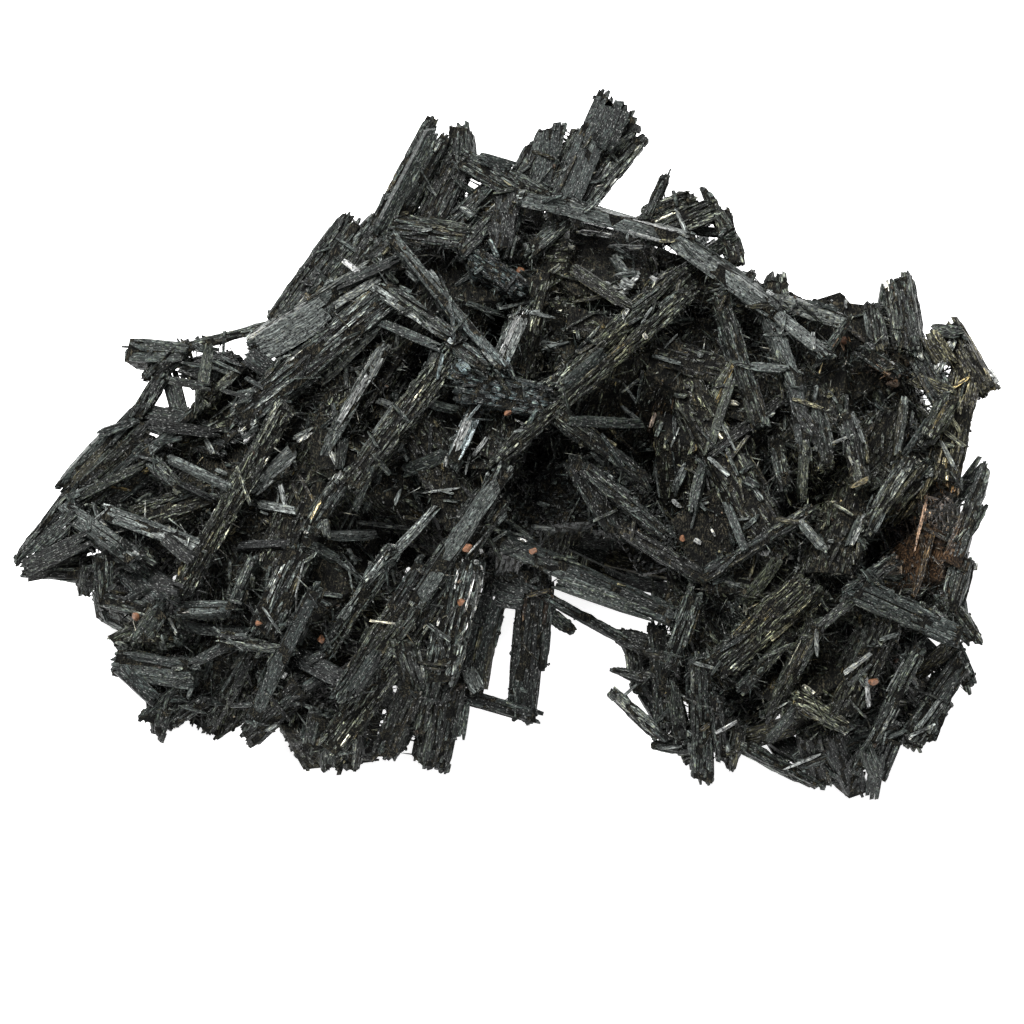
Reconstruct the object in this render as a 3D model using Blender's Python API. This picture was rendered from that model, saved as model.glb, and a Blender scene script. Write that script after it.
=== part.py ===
"""Aegirine cluster: a jumbled openwork mass of black prismatic crystals with a few feldspar grains.

Sizes are in millimetres until the meshes are written, which is in metres.  The cluster rests on z = 0
and its box is centred on the origin.

Most crystals are laths written as (start, end, width, tip).  Each end is (across, up, lift): across is
X, up is measured in an oblique plane that looks down on the front by VIEW_ELEVATION, and lift is the
height above the mound that the crystals lie on.  tip is the width left at the second end, as a share.
"""

import math
import random

import bmesh
import bpy
from mathutils import Matrix, Vector
from mathutils.bvhtree import BVHTree

MM = 0.001
CENTRE = Vector((-0.5555, -15.5175, 0.0))
VIEW_ELEVATION = math.radians(55)
VIEW_SIN = math.sin(VIEW_ELEVATION)
VIEW_COS = math.cos(VIEW_ELEVATION)
TO_VIEWER = Vector((0.0, -VIEW_COS, VIEW_SIN))

# The mound's height over a coarse net in the oblique plane: one row for each step up.
MOUND_ACROSS = (-60, -40, -20, 0, 20, 40, 60)
MOUND_UP = (-45, -30, -15, 0, 15, 30, 45)
MOUND_HEIGHT = (
    (1, 1, 1, 1, 1, 1, 1),
    (5, 9, 14, 10, 14, 19, 12),
    (12, 18, 25, 22, 24, 28, 22),
    (18, 24, 31, 33, 32, 33, 27),
    (22, 27, 34, 37, 36, 34, 29),
    (26, 30, 36, 38, 38, 36, 30),
    (30, 34, 40, 42, 42, 38, 34),
)

# The mass stands on this plan, as (x, y) corners; NOTCH_FROM to NOTCH_TO bound the gap between its lobes.
PLAN = (
    (57, -20), (57, -8), (54, 3), (45, 8), (34, 8), (28, 12), (20, 17), (8, 20), (-5, 20), (-16, 17),
    (-24, 10), (-32, 3), (-42, -3), (-50, -12), (-53, -25), (-50, -36), (-46, -43), (-36, -46),
    (-28, -50), (-20, -52), (-9, -51), (-7, -40), (-3, -27), (2, -24), (7, -21), (14, -21), (18, -27),
    (17, -42), (21, -50), (30, -51), (40, -54), (48, -54), (53, -46), (56, -36),
)
BACK_TO = 14
NOTCH_FROM = 20
NOTCH_TO = 28
SPREAD_FROM = (-58.0, -54.0)
SPREAD_TO = (59.0, 21.0)
ROW_SHARE = 0.87
SIDE_REACH = 8.0
BACK_REACH = 16.0
SIDE_TOP = 40.0

# Stout prisms inside the mass: PRISM_GROUNDED is the share that reach the ground.
PRISM_STEP = 13.0
PRISM_RADIUS = 8.0
PRISM_SIDES = 5
PRISM_COVER = 4.0
PRISM_LEAN = (3.0, 10.0)
PRISM_INSET = 5.0
PRISM_END_INSET = 4.0
PRISM_GROUNDED = 0.3
PRISM_FOOT = (2.5, 8.0)
PRISM_LEAST = 4.0

# The wall at the back of the notch leans forward: (start, end, width) in plain (x, y, z).
NOTCH_WALL = (
    ((0.0, -21.0, -1.0), (1.0, -30.0, 21.0), 8.0),
    ((6.5, -15.0, 1.0), (7.5, -26.0, 20.0), 9.0),
    ((13.5, -15.0, -1.0), (13.0, -26.5, 19.0), 9.0),
    ((19.5, -20.0, 1.0), (18.5, -31.0, 17.0), 8.0),
)

# Broad laths under the mound's surface.
BED_STEP = 17.0
BED_INSET = 2.0
BED_END_INSET = 1.0
BED_LENGTH = (19.0, 28.0)
BED_WIDTH = (5.4, 8.0)
BED_SINK = (0.3, 1.8)

# Laths on the sides and the back: JUT_SHARE of those behind JUT_BEHIND jut out.
SIDE_STEP_BACK = 8.0
SIDE_STEP_FRONT = 18.0
SIDE_LENGTH = (13.0, 26.0)
SIDE_WIDTH = (1.6, 4.2)
SIDE_SWING = 1.1
SIDE_LEAN = (0.3, 0.6)
JUT_SHARE = 0.35
JUT_BEHIND = 5.0
JUT_ROOT = 6.0
JUT_LENGTH = 13.0
JUT_RISE = (-0.7, 0.1)

# A lath is DEPTH_SHARE of its width, and DEPTH_MORE, from front to back.
LIFT_SHARE = 0.75
DEPTH_SHARE = 0.8
DEPTH_MORE = 1.6
FACING_SWING = 16.0
END_SLANT = 0.5
END_DIP = 0.35
SIX_SIDED_FROM = 4.5
FOUR_SIDED = ((-0.50, -0.50), (0.50, -0.44), (0.47, 0.50), (-0.50, 0.42))
SIX_SIDED = ((-0.50, -0.20), (-0.30, -0.50), (0.34, -0.50), (0.50, -0.05), (0.36, 0.50), (-0.34, 0.46))

LEFT_EDGE = (
    ((-55.0, -5.4, 0.0), (-61.9, -14.3, 0.5), 1.5, 0.6),
    ((-53.4, -11.5, 1.5), (-61.4, -15.0, 1.0), 1.2, 0.5),
    ((-51.0, -15.5, 0.0), (-61.8, -15.3, 0.0), 2.0, 0.3),
    ((-53.0, -15.5, 0.5), (-53.6, -18.6, -1.5), 2.0, 0.8),
    ((-56.0, -7.5, 2.5), (-47.1, -13.5, 2.5), 2.5, 0.9),
    ((-53.4, -8.2, 0.5), (-45.2, -13.6, 0.0), 1.8, 0.9),
    ((-51.1, -7.9, 3.0), (-38.6, -12.4, 3.0), 2.1, 0.8),
    ((-50.5, 0.9, 0.5), (-56.0, -5.0, 0.5), 2.8, 0.8),
    ((-45.9, -1.0, 1.0), (-41.6, -4.8, 1.0), 2.2, 0.5),
    ((-50.9, -13.6, 2.0), (-50.8, -19.2, 0.0), 2.2, 0.8),
    ((-51.8, -18.8, 0.0), (-45.2, -20.2, 0.5), 1.9, 0.9),
    ((-52.6, -10.0, 0.0), (-60.8, -14.9, 0.5), 4.4, 0.35),
    ((-53.2, -5.6, -0.5), (-45.4, 1.6, -0.5), 5.2, 0.9),
    ((-43.8, -0.6, -1.0), (-52.4, -8.0, -0.5), 5.6, 0.8),
    ((-43.6, 3.4, -2.0), (-36.0, 0.6, -2.0), 6.0, 0.9),
    ((-40.6, 8.2, -1.0), (-34.4, 9.6, -0.5), 4.2, 0.8),
)
UPPER_LEFT = (
    ((-41.2, 12.2, 1.0), (-48.2, 12.4, 1.0), 2.4, 1.25),
    ((-41.6, 12.0, 0.5), (-45.2, 8.4, 0.0), 2.4, 0.8),
    ((-44.0, 9.2, 0.5), (-47.2, 4.0, 0.5), 1.7, 0.9),
    ((-46.8, 5.2, 0.5), (-51.0, 0.8, 0.5), 1.6, 0.9),
    ((-41.5, 12.4, 0.5), (-30.0, 15.2, 1.0), 1.0, 0.9),
    ((-46.6, -1.4, 1.0), (-32.6, 11.3, 1.5), 1.2, 0.8),
)
LOWER_LEFT = (
    ((-41.8, -19.9, 1.5), (-34.8, -19.8, 1.5), 1.6, 0.9),
    ((-35.2, -20.2, 2.0), (-32.6, -14.0, 2.0), 1.6, 0.9),
    ((-26.5, -12.8, 1.5), (-31.2, -23.0, 2.5), 4.2, 0.9),
    ((-36.6, -24.0, 2.5), (-27.4, -25.2, 3.0), 1.6, 0.5),
    ((-46.5, -24.4, 1.5), (-43.8, -20.3, 2.0), 2.6, 0.9),
    ((-40.2, -28.4, 1.5), (-49.8, -26.8, 1.5), 3.8, 0.9),
    ((-46.8, -22.6, 0.5), (-50.3, -24.0, 0.0), 1.9, 0.8),
    ((-41.0, -30.6, 0.0), (-45.4, -34.4, -1.0), 3.6, 0.8),
    ((-43.4, -32.6, 0.0), (-44.2, -35.6, 0.0), 1.8, 0.6),
    ((-38.8, -31.6, 0.0), (-42.2, -34.2, 0.0), 1.9, 0.6),
    ((-26.4, -30.0, 1.5), (-33.2, -36.8, -0.5), 4.6, 0.7),
)
BACK_LEFT = (
    ((-29.8, 16.0, 1.5), (-20.4, 29.2, 2.0), 2.0, 0.8),
    ((-27.8, 17.0, 2.5), (-19.4, 28.3, 3.0), 1.4, 0.8),
    ((-25.9, 17.5, 2.0), (-17.2, 28.6, 2.5), 1.8, 0.8),
    ((-20.6, 21.6, 2.0), (-16.4, 28.2, 2.0), 1.6, 0.8),
    ((-19.0, 22.6, 2.0), (-14.2, 28.0, 2.0), 1.6, 0.8),
    ((-16.0, 22.8, 3.5), (-32.4, 12.0, 4.0), 3.2, 1.2),
    ((-14.6, 19.8, 4.0), (-33.8, 3.7, 5.0), 5.0, 0.9),
    ((-28.0, 5.4, 4.0), (-41.2, -18.2, 3.5), 2.6, 0.9),
    ((-15.6, 12.9, 1.0), (-23.5, -1.2, 0.5), 1.5, 0.7),
    ((-6.8, 13.4, 2.5), (-20.2, -4.4, 2.0), 3.0, 0.9),
    ((-21.3, -4.0, 2.0), (-25.1, -10.2, 1.5), 2.2, 0.9),
)
BRIGHT_LATHS = (
    ((-17.5, 20.0, 4.5), (-7.2, 13.2, 4.5), 1.2, 0.9),
    ((-15.9, 20.6, 5.0), (-6.6, 13.9, 5.0), 1.2, 0.9),
    ((-7.4, 13.2, 4.0), (-3.2, 10.2, 4.0), 1.8, 0.9),
    ((-15.2, 26.7, 4.7), (-1.1, 10.0, 4.7), 1.4, 0.9),
    ((1.8, 17.2, 2.7), (-1.2, 10.4, 2.7), 1.6, 0.9),
    ((-4.2, 5.2, 0.8), (-7.2, -1.7, -0.2), 1.8, 0.9),
    ((-5.2, 24.4, 2.5), (0.8, 20.4, 2.5), 3.2, 0.7),
    ((-7.0, 8.0, 2.8), (4.6, 5.6, 2.8), 4.4, 0.8),
)
FAN = (
    ((-14.6, -13.0, 0.2), (-23.9, -26.7, -0.4), 2.0, 0.9),
    ((-11.4, -14.4, 3.5), (-21.9, -30.7, 4.0), 1.8, 0.9),
    ((-8.2, -13.8, 4.0), (-20.3, -31.0, 4.5), 2.8, 0.8),
    ((-6.6, -14.4, 4.0), (-22.8, -37.8, 3.0), 4.2, 0.8),
    ((-0.8, -2.6, 4.5), (-12.2, -19.6, 5.5), 2.2, 0.8),
    ((-2.0, -5.4, 3.0), (-12.0, -20.6, 4.0), 4.4, 0.8),
    ((-5.8, -13.8, 4.5), (-9.2, -29.2, 5.0), 4.2, 0.9),
    ((-9.4, -27.6, 4.0), (-11.7, -35.8, 2.5), 1.6, 0.9),
    ((-7.4, -29.4, 3.5), (-9.5, -39.9, 1.5), 5.4, 0.9),
    ((-12.6, -29.8, 3.0), (-16.4, -38.6, 1.0), 3.8, 0.8),
    ((-24.2, -33.4, 2.0), (-25.2, -38.0, 1.0), 2.8, 0.8),
    ((-22.4, -36.0, 1.5), (-22.9, -40.2, 1.0), 1.8, 0.8),
    ((-19.8, -35.4, 1.5), (-20.3, -40.2, 1.0), 1.8, 0.8),
    ((-1.6, -19.6, 0.0), (-4.4, -30.6, 1.5), 2.0, 0.9),
    ((-6.4, -30.7, 1.0), (3.0, -33.5, 0.0), 1.8, 0.9),
    ((2.6, -15.4, 0.0), (1.0, -33.6, 0.0), 3.8, 0.9),
    ((4.8, -17.6, -0.5), (3.9, -27.6, 0.0), 1.1, 0.9),
    ((4.6, -20.4, -1.0), (7.6, -22.7, -1.0), 1.7, 0.6),
)
TOP = (
    ((-16.2, 28.4, 2.0), (-9.9, 41.8, 4.0), 3.2, 0.4),
    ((-13.6, 29.6, 2.5), (-8.4, 39.2, 3.5), 1.8, 0.8),
    ((-10.4, 28.6, 1.5), (-6.0, 38.2, 3.0), 4.0, 0.8),
    ((-6.4, 35.2, 2.0), (-6.8, 40.4, 3.0), 2.8, 0.9),
    ((-6.4, 36.4, 3.5), (0.8, 32.2, 3.5), 3.0, 0.8),
    ((-1.7, 34.7, 3.0), (5.2, 30.8, 3.0), 1.8, 0.9),
    ((-8.0, 28.0, 1.0), (-1.0, 33.9, 2.0), 2.3, 0.9),
    ((2.6, 31.0, 1.0), (5.2, 40.4, 3.0), 4.2, 0.8),
    ((0.4, 32.8, 1.5), (3.0, 38.2, 2.5), 2.6, 0.7),
    ((6.3, 30.2, 2.5), (12.2, 44.0, 4.0), 4.2, 0.8),
    ((9.0, 30.2, 1.5), (16.2, 38.9, 2.5), 2.2, 0.8),
    ((9.6, 33.6, 2.0), (15.4, 41.4, 3.0), 3.2, 0.7),
    ((-15.2, 27.4, 3.5), (-4.8, 25.8, 3.5), 3.0, 0.8),
    ((-6.4, 24.6, 3.5), (-1.9, 29.5, 3.5), 2.1, 0.8),
    ((-0.5, 32.6, 3.0), (-1.6, 25.2, 3.0), 3.0, 0.9),
    ((2.4, 25.0, 0.0), (7.0, 29.0, 1.5), 2.1, 0.8),
    ((0.8, 31.2, 4.5), (7.6, 29.8, 4.5), 1.9, 0.9),
    ((6.4, 30.1, 4.5), (22.4, 25.4, 4.5), 1.9, 0.9),
    ((19.4, 26.4, 4.5), (32.4, 17.0, 4.5), 2.2, 0.9),
    ((31.8, 17.5, 4.0), (39.0, 11.8, 4.0), 1.7, 0.7),
    ((31.4, 18.8, 2.5), (41.8, 15.7, 2.5), 2.0, 0.7),
    ((4.4, 31.8, 1.0), (8.9, 40.2, 2.2), 3.0, 0.8),
)
CREST = (
    ((16.6, 28.2, 1.5), (19.2, 34.3, 2.5), 1.1, 0.9),
    ((27.2, 27.4, 2.0), (24.1, 32.6, 2.5), 1.3, 0.6),
    ((17.6, 27.0, 2.0), (25.8, 30.6, 2.5), 2.9, 0.9),
    ((26.2, 30.0, 2.0), (28.2, 23.6, 1.5), 2.3, 0.8),
    ((17.0, 29.4, 1.5), (22.8, 31.6, 2.0), 2.6, 0.8),
)
CENTRE_RIGHT = (
    ((21.9, 19.0, 4.5), (-1.7, -1.6, 4.5), 1.6, 0.9),
    ((22.6, 20.8, 2.5), (7.7, 7.0, 2.5), 5.6, 0.8),
    ((26.2, 19.2, 2.0), (31.2, 3.4, 1.5), 1.9, 0.9),
    ((32.0, 17.6, 3.0), (35.3, 8.1, 3.0), 2.0, 0.9),
    ((35.0, 9.0, 3.0), (36.2, -0.6, 2.0), 2.0, 0.8),
    ((5.9, 4.2, 3.6), (16.8, -3.9, -1.0), 1.8, 0.9),
    ((9.2, -2.6, 1.0), (18.8, -10.6, 1.5), 1.8, 0.9),
    ((7.6, -2.0, 0.5), (12.8, -10.6, 0.0), 2.5, 0.8),
    ((13.4, -9.6, 0.5), (23.6, -15.9, 1.0), 1.9, 0.9),
    ((37.0, -7.6, 2.0), (23.3, -16.4, 1.5), 1.5, 0.8),
    ((35.0, 5.8, 2.5), (37.9, 1.2, 2.5), 2.0, 0.8),
    ((38.0, 5.6, 2.5), (39.3, -1.8, 2.5), 1.5, 0.9),
    ((41.0, 4.4, 2.5), (43.0, -4.3, 2.5), 2.0, 0.9),
    ((32.8, 1.2, -3.0), (33.9, -4.6, -3.5), 1.8, 0.8),
    ((49.3, -1.0, 1.5), (44.0, -9.4, 1.5), 1.8, 0.8),
    ((52.2, -2.0, -0.9), (47.6, -7.4, -0.9), 1.9, 0.9),
    ((-2.4, -11.6, 1.2), (19.8, -21.3, 1.7), 2.2, 0.9),
    ((-0.4, -15.8, -0.5), (15.8, -24.7, 1.0), 1.2, 0.9),
)
RIGHT_EDGE = (
    ((33.6, 16.2, 1.0), (33.2, 21.5, 2.0), 2.8, 0.9),
    ((28.6, 19.8, 1.5), (30.2, 22.0, 2.0), 1.2, 0.9),
    ((49.4, 12.6, 1.5), (48.1, 21.3, 2.5), 3.8, 0.9),
    ((46.2, 12.6, 1.0), (45.1, 18.3, 1.5), 2.0, 0.8),
    ((54.0, 15.0, 1.5), (58.2, 7.6, 1.5), 3.8, 0.9),
    ((56.8, 10.4, 1.5), (54.0, -3.6, 1.0), 4.2, 0.8),
    ((54.8, 6.6, 3.5), (52.0, 2.0, 3.0), 2.0, 0.9),
    ((44.0, 11.8, 1.2), (48.0, 9.3, 0.7), 1.8, 0.8),
    ((38.8, 11.8, 3.0), (42.3, 16.8, 3.0), 1.0, 0.5),
    ((54.6, -14.4, 0.5), (59.2, -1.8, 1.0), 2.9, 0.4),
    ((56.0, -11.6, 0.5), (59.2, -7.0, 0.5), 1.7, 0.5),
    ((43.0, -17.8, 4.5), (55.8, -23.6, 4.0), 3.0, 0.9),
    ((48.1, -13.8, 2.5), (41.9, -18.2, 3.5), 1.8, 0.9),
    ((55.9, -13.4, 0.5), (54.0, -20.2, 1.0), 2.5, 0.9),
    ((54.0, -19.6, 1.0), (57.5, -24.2, 1.0), 2.5, 0.8),
    ((56.0, -26.6, 2.0), (49.8, -35.4, 3.0), 2.8, 0.9),
    ((54.6, -24.6, 0.0), (57.1, -29.8, 0.0), 2.2, 0.8),
    ((53.6, -29.6, 0.5), (51.4, -36.8, 0.0), 3.4, 0.8),
    ((50.6, -25.0, 4.0), (42.8, -40.2, 3.5), 1.8, 0.8),
    ((46.8, -21.3, 2.5), (41.5, -33.0, 2.5), 5.4, 0.9),
    ((35.7, -31.1, 3.0), (42.0, -34.8, 3.0), 1.8, 0.9),
    ((37.7, -22.3, 3.5), (31.8, -34.2, 2.5), 2.3, 0.6),
    ((28.8, -36.9, 1.0), (38.2, -41.6, 0.5), 1.4, 0.9),
    ((40.2, -36.0, 1.5), (43.6, -43.6, 0.0), 4.8, 0.8),
    ((47.4, -36.4, 1.0), (45.6, -41.4, 0.5), 2.6, 0.8),
    ((36.8, -36.4, 1.0), (38.6, -42.4, 0.5), 3.4, 0.8),
    ((23.4, -26.6, 2.5), (23.8, -41.6, 1.0), 2.7, 0.9),
    ((18.8, -35.9, 1.0), (12.8, -30.3, 1.5), 1.3, 0.8),
    ((21.4, -37.0, 0.5), (17.4, -36.6, 0.5), 1.5, 0.5),
    ((16.8, -28.6, 1.0), (12.4, -27.5, 1.0), 1.5, 0.5),
    ((17.6, -24.4, 1.0), (12.6, -23.2, 1.0), 2.4, 0.7),
    ((22.4, -18.6, 3.0), (19.4, -27.4, 2.5), 2.1, 0.9),
    ((36.2, -17.0, 2.5), (25.2, -27.3, 2.5), 5.0, 0.9),
    ((34.7, -23.0, 1.3), (28.4, -30.1, 0.8), 1.5, 0.9),
    ((17.8, -22.4, 1.0), (18.8, -34.9, 1.0), 2.3, 0.9),
    ((15.0, -24.6, 0.0), (15.8, -30.4, 0.0), 2.0, 0.8),
    ((20.0, -29.8, 1.5), (21.3, -37.0, 1.0), 1.7, 0.9),
    ((25.3, -31.2, 1.5), (26.1, -39.0, 1.0), 1.7, 0.8),
    ((28.4, -35.4, 1.0), (27.5, -40.4, 1.0), 1.8, 0.6),
    ((50.4, 12.4, 0.5), (54.0, 6.0, 0.5), 3.4, 0.9),
)
GROUPS = (
    LEFT_EDGE, UPPER_LEFT, LOWER_LEFT, BACK_LEFT, BRIGHT_LATHS,
    FAN, TOP, CREST, CENTRE_RIGHT, RIGHT_EDGE,
)

# Grains as (across, up, longest half, shortest half).
GRAINS = (
    (0.9, 22.2, 0.80, 0.45),
    (-0.6, 4.4, 0.65, 0.40),
    (-5.6, -12.4, 0.80, 0.55),
    (2.6, -12.8, 0.80, 0.40),
    (-47.1, -21.0, 0.60, 0.55),
    (-23.8, -23.8, 0.60, 0.50),
    (-6.3, -19.2, 0.65, 0.45),
    (44.8, -29.0, 0.65, 0.60),
    (47.8, -26.5, 0.50, 0.45),
    (41.6, 13.5, 0.60, 0.50),
    (21.2, -11.2, 0.50, 0.45),
    (-31.5, -21.8, 0.50, 0.45),
)
GRAIN_CLEARANCE = 0.12


def mound_height(across, up):
    """Height of the mound by straight interpolation in the net."""
    step_across = MOUND_ACROSS[1] - MOUND_ACROSS[0]
    step_up = MOUND_UP[1] - MOUND_UP[0]
    column = min(max((across - MOUND_ACROSS[0]) / step_across, 0.0), len(MOUND_ACROSS) - 1.001)
    row = min(max((up - MOUND_UP[0]) / step_up, 0.0), len(MOUND_UP) - 1.001)
    left, low = int(column), int(row)
    fx, fy = column - left, row - low
    lower = MOUND_HEIGHT[low][left] * (1 - fx) + MOUND_HEIGHT[low][left + 1] * fx
    upper = MOUND_HEIGHT[low + 1][left] * (1 - fx) + MOUND_HEIGHT[low + 1][left + 1] * fx
    return lower * (1 - fy) + upper * fy


def place(end):
    """The point in space of an (across, up, lift) end."""
    across, up, lift = end
    height = mound_height(across, up) + lift * LIFT_SHARE
    return Vector((across, (up - height * VIEW_COS) / VIEW_SIN, height))


def edge_distance(x, y, edges=range(len(PLAN))):
    """How far inside the plan a point is from the given edges; negative outside the plan."""
    nearest = 1e9
    inside = False
    for index, (x1, y1) in enumerate(PLAN):
        x2, y2 = PLAN[(index + 1) % len(PLAN)]
        if (y1 > y) != (y2 > y) and x < x1 + (y - y1) / (y2 - y1) * (x2 - x1):
            inside = not inside
        if index in edges:
            share = ((x - x1) * (x2 - x1) + (y - y1) * (y2 - y1)) / ((x2 - x1) ** 2 + (y2 - y1) ** 2)
            share = min(max(share, 0.0), 1.0)
            nearest = min(nearest, math.hypot(x1 + share * (x2 - x1) - x, y1 + share * (y2 - y1) - y))
    return nearest if inside else -nearest


def mass_height(x, y):
    """Height of the mass at a point of the plan: the mound, rounded down to the ground at its sides."""
    height = 20.0
    for _ in range(16):
        height = mound_height(x, y * VIEW_SIN + height * VIEW_COS)
    for edges, reach in ((range(len(PLAN)), SIDE_REACH), (range(BACK_TO), BACK_REACH)):
        inside = min(max(edge_distance(x, y, edges) / reach, 0.0), 1.0)
        height = min(height, SIDE_TOP * math.sqrt(1 - (1 - inside) ** 2))
    return height


def mass_normal(x, y):
    step = 1.0
    slope_x = (mass_height(x + step, y) - mass_height(x - step, y)) / (2 * step)
    slope_y = (mass_height(x, y + step) - mass_height(x, y - step)) / (2 * step)
    return Vector((-slope_x, -slope_y, 1.0)).normalized()


def add_prism(mesh, rings):
    """A closed prism through the rings, each a list of points going round the same way."""
    made = [[mesh.verts.new(point) for point in ring] for ring in rings]
    count = len(rings[0])
    faces = [mesh.faces.new(made[0][::-1]), mesh.faces.new(made[-1])]
    for low, high in zip(made, made[1:]):
        for i in range(count):
            j = (i + 1) % count
            faces.append(mesh.faces.new((low[i], low[j], high[j], high[i])))
    bmesh.ops.recalc_face_normals(mesh, faces=faces)


def add_lath(mesh, start, end, width, tip, facing, rng):
    """A lath whose broad face lies along start-end and looks to facing, with broken, oblique ends."""
    axis = (end - start).normalized()
    facing = (facing - axis * facing.dot(axis)).normalized()
    swing = math.radians(rng.uniform(-FACING_SWING, FACING_SWING))
    facing = Matrix.Rotation(swing, 3, axis) @ facing
    side = axis.cross(facing)
    depth = DEPTH_SHARE * width + DEPTH_MORE
    section = SIX_SIDED if width >= SIX_SIDED_FROM else FOUR_SIDED
    rings = []
    for centre, share, out in ((start, 0.92, -1), (end, tip, 1)):
        slant = rng.uniform(-END_SLANT, END_SLANT)
        dip = rng.uniform(0.0, END_DIP)
        ring = []
        for a, b in section:
            along = out * (slant * a + dip * (b - 0.5)) * width
            point = centre + side * (a * width * share) + facing * ((b * share - 0.5) * depth)
            ring.append(point + axis * along)
        rings.append(ring)
    add_prism(mesh, rings)


def add_table_laths(mesh):
    """The laths of the tables.  Each one's small turns are seeded by its own place."""
    for group in GROUPS:
        for start, end, width, tip in group:
            add_lath(mesh, place(start), place(end), width, tip, TO_VIEWER, random.Random(str(start)))


def plan_points(step, inset, rng):
    """Points spread over the plan in staggered rows, each at least inset from its edge."""
    row = 0
    y = SPREAD_FROM[1]
    while y < SPREAD_TO[1]:
        x = SPREAD_FROM[0] + (row % 2) * step / 2
        while x < SPREAD_TO[0]:
            near_x = x + rng.uniform(-0.15, 0.15) * step
            near_y = y + rng.uniform(-0.15, 0.15) * step
            if edge_distance(near_x, near_y) > inset:
                yield near_x, near_y
            x += step
        y += step * ROW_SHARE
        row += 1


def add_stout_prisms(mesh, rng):
    """Stout five-sided prisms deep in the mass, leaning every way; some of them reach the ground."""
    for x, y in plan_points(PRISM_STEP, PRISM_INSET, rng):
        direction = rng.uniform(0, 2 * math.pi)
        reach = rng.uniform(*PRISM_LEAN)
        lean = Vector((math.cos(direction), math.sin(direction))) * reach
        while min(edge_distance(x + way * lean.x, y + way * lean.y) for way in (-1, 1)) < PRISM_END_INSET:
            lean *= 0.8
        foot = -1.0 if rng.random() < PRISM_GROUNDED else rng.uniform(*PRISM_FOOT)
        top = max(mass_height(x + lean.x, y + lean.y) - PRISM_COVER, foot + PRISM_LEAST)
        turn = rng.uniform(0, 2 * math.pi)
        tilt_x, tilt_y = rng.uniform(-0.5, 0.5), rng.uniform(-0.5, 0.5)
        rings = []
        for height, way in ((foot, -1), (top, 1)):
            centre_x, centre_y = x + way * lean.x, y + way * lean.y
            radius = min(PRISM_RADIUS, edge_distance(centre_x, centre_y) - 0.5)
            ring = []
            for i in range(PRISM_SIDES):
                angle = turn + i * 2 * math.pi / PRISM_SIDES
                out_x, out_y = radius * math.cos(angle), radius * math.sin(angle)
                rise = (tilt_x * out_x + tilt_y * out_y) if way > 0 else 0.0
                ring.append(Vector((centre_x + out_x, centre_y + out_y, height + rise)))
            rings.append(ring)
        add_prism(mesh, rings)


def add_notch_wall(mesh, rng):
    for start, end, width in NOTCH_WALL:
        add_lath(mesh, Vector(start), Vector(end), width, 0.9, Vector((0, -1, 0)), rng)


def add_bed_laths(mesh, rng):
    """Broad laths lying every way just under the mound's surface, which the others rest on."""
    for x, y in plan_points(BED_STEP, BED_INSET, rng):
        normal = mass_normal(x, y)
        swing = rng.uniform(0, math.pi)
        axis = Vector((math.cos(swing), math.sin(swing), 0.0))
        axis = (axis - normal * axis.dot(normal)).normalized()
        half = rng.uniform(*BED_LENGTH) / 2
        sink = rng.uniform(*BED_SINK)
        ends = []
        for way in (-1, 1):
            reach = half
            while edge_distance(x + way * axis.x * reach, y + way * axis.y * reach) < BED_END_INSET:
                reach *= 0.8
            end_x, end_y = x + way * axis.x * reach, y + way * axis.y * reach
            ends.append(Vector((end_x, end_y, max(mass_height(end_x, end_y) - sink, 2.0))))
        add_lath(mesh, ends[0], ends[1], rng.uniform(*BED_WIDTH), 0.85, normal, rng)


def add_side_laths(mesh, rng):
    """Laths that lie and jut on the sides and the back, which the table leaves bare."""
    for index, corner in enumerate(PLAN):
        if NOTCH_FROM <= index < NOTCH_TO:
            continue
        first = Vector((*corner, 0.0))
        last = Vector((*PLAN[(index + 1) % len(PLAN)], 0.0))
        step = SIDE_STEP_BACK if index < BACK_TO else SIDE_STEP_FRONT
        count = max(1, round((last - first).length / step))
        along = (last - first).normalized()
        outward = Vector((along.y, -along.x, 0.0))
        if edge_distance(*((first + last) / 2 + outward).xy) > 0:
            outward = -outward
        for number in range(count):
            foot = first.lerp(last, (number + rng.random()) / count)
            juts = foot.y > JUT_BEHIND and rng.random() < JUT_SHARE
            add_side_lath(mesh, foot, along, outward, juts, rng)


def add_side_lath(mesh, foot, along, outward, juts, rng):
    """One lath leaning on the side above a point of the plan's edge, or rooted in it and jutting out."""
    length = rng.uniform(*SIDE_LENGTH)
    if juts:
        x, y = (foot - outward * JUT_ROOT).xy
        start = Vector((x, y, mass_height(x, y) * rng.uniform(0.35, 0.85)))
        axis = outward + along * rng.uniform(-1.0, 1.0) + Vector((0, 0, rng.uniform(*JUT_RISE)))
        end = start + axis.normalized() * min(length, JUT_LENGTH)
    else:
        swing = rng.uniform(-SIDE_SWING, SIDE_SWING)
        upward = Vector((0, 0, 0.85)) - outward * rng.uniform(*SIDE_LEAN)
        axis = (along * math.sin(swing) + upward * math.cos(swing)).normalized()
        start = foot + outward * rng.uniform(-1.5, 0.5) + Vector((0, 0, rng.uniform(1.0, 9.0)))
        start -= along * math.sin(swing) * length * 0.4
        end = start + axis * length
    add_lath(mesh, start, end, rng.uniform(*SIDE_WIDTH), rng.uniform(0.5, 0.9), outward, rng)


def mesh_object(name, mesh, material=None):
    data = bpy.data.meshes.new(name)
    mesh.to_mesh(data)
    mesh.free()
    made = bpy.data.objects.new(name, data)
    bpy.context.scene.collection.objects.link(made)
    if material:
        data.materials.append(material)
    return made


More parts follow.
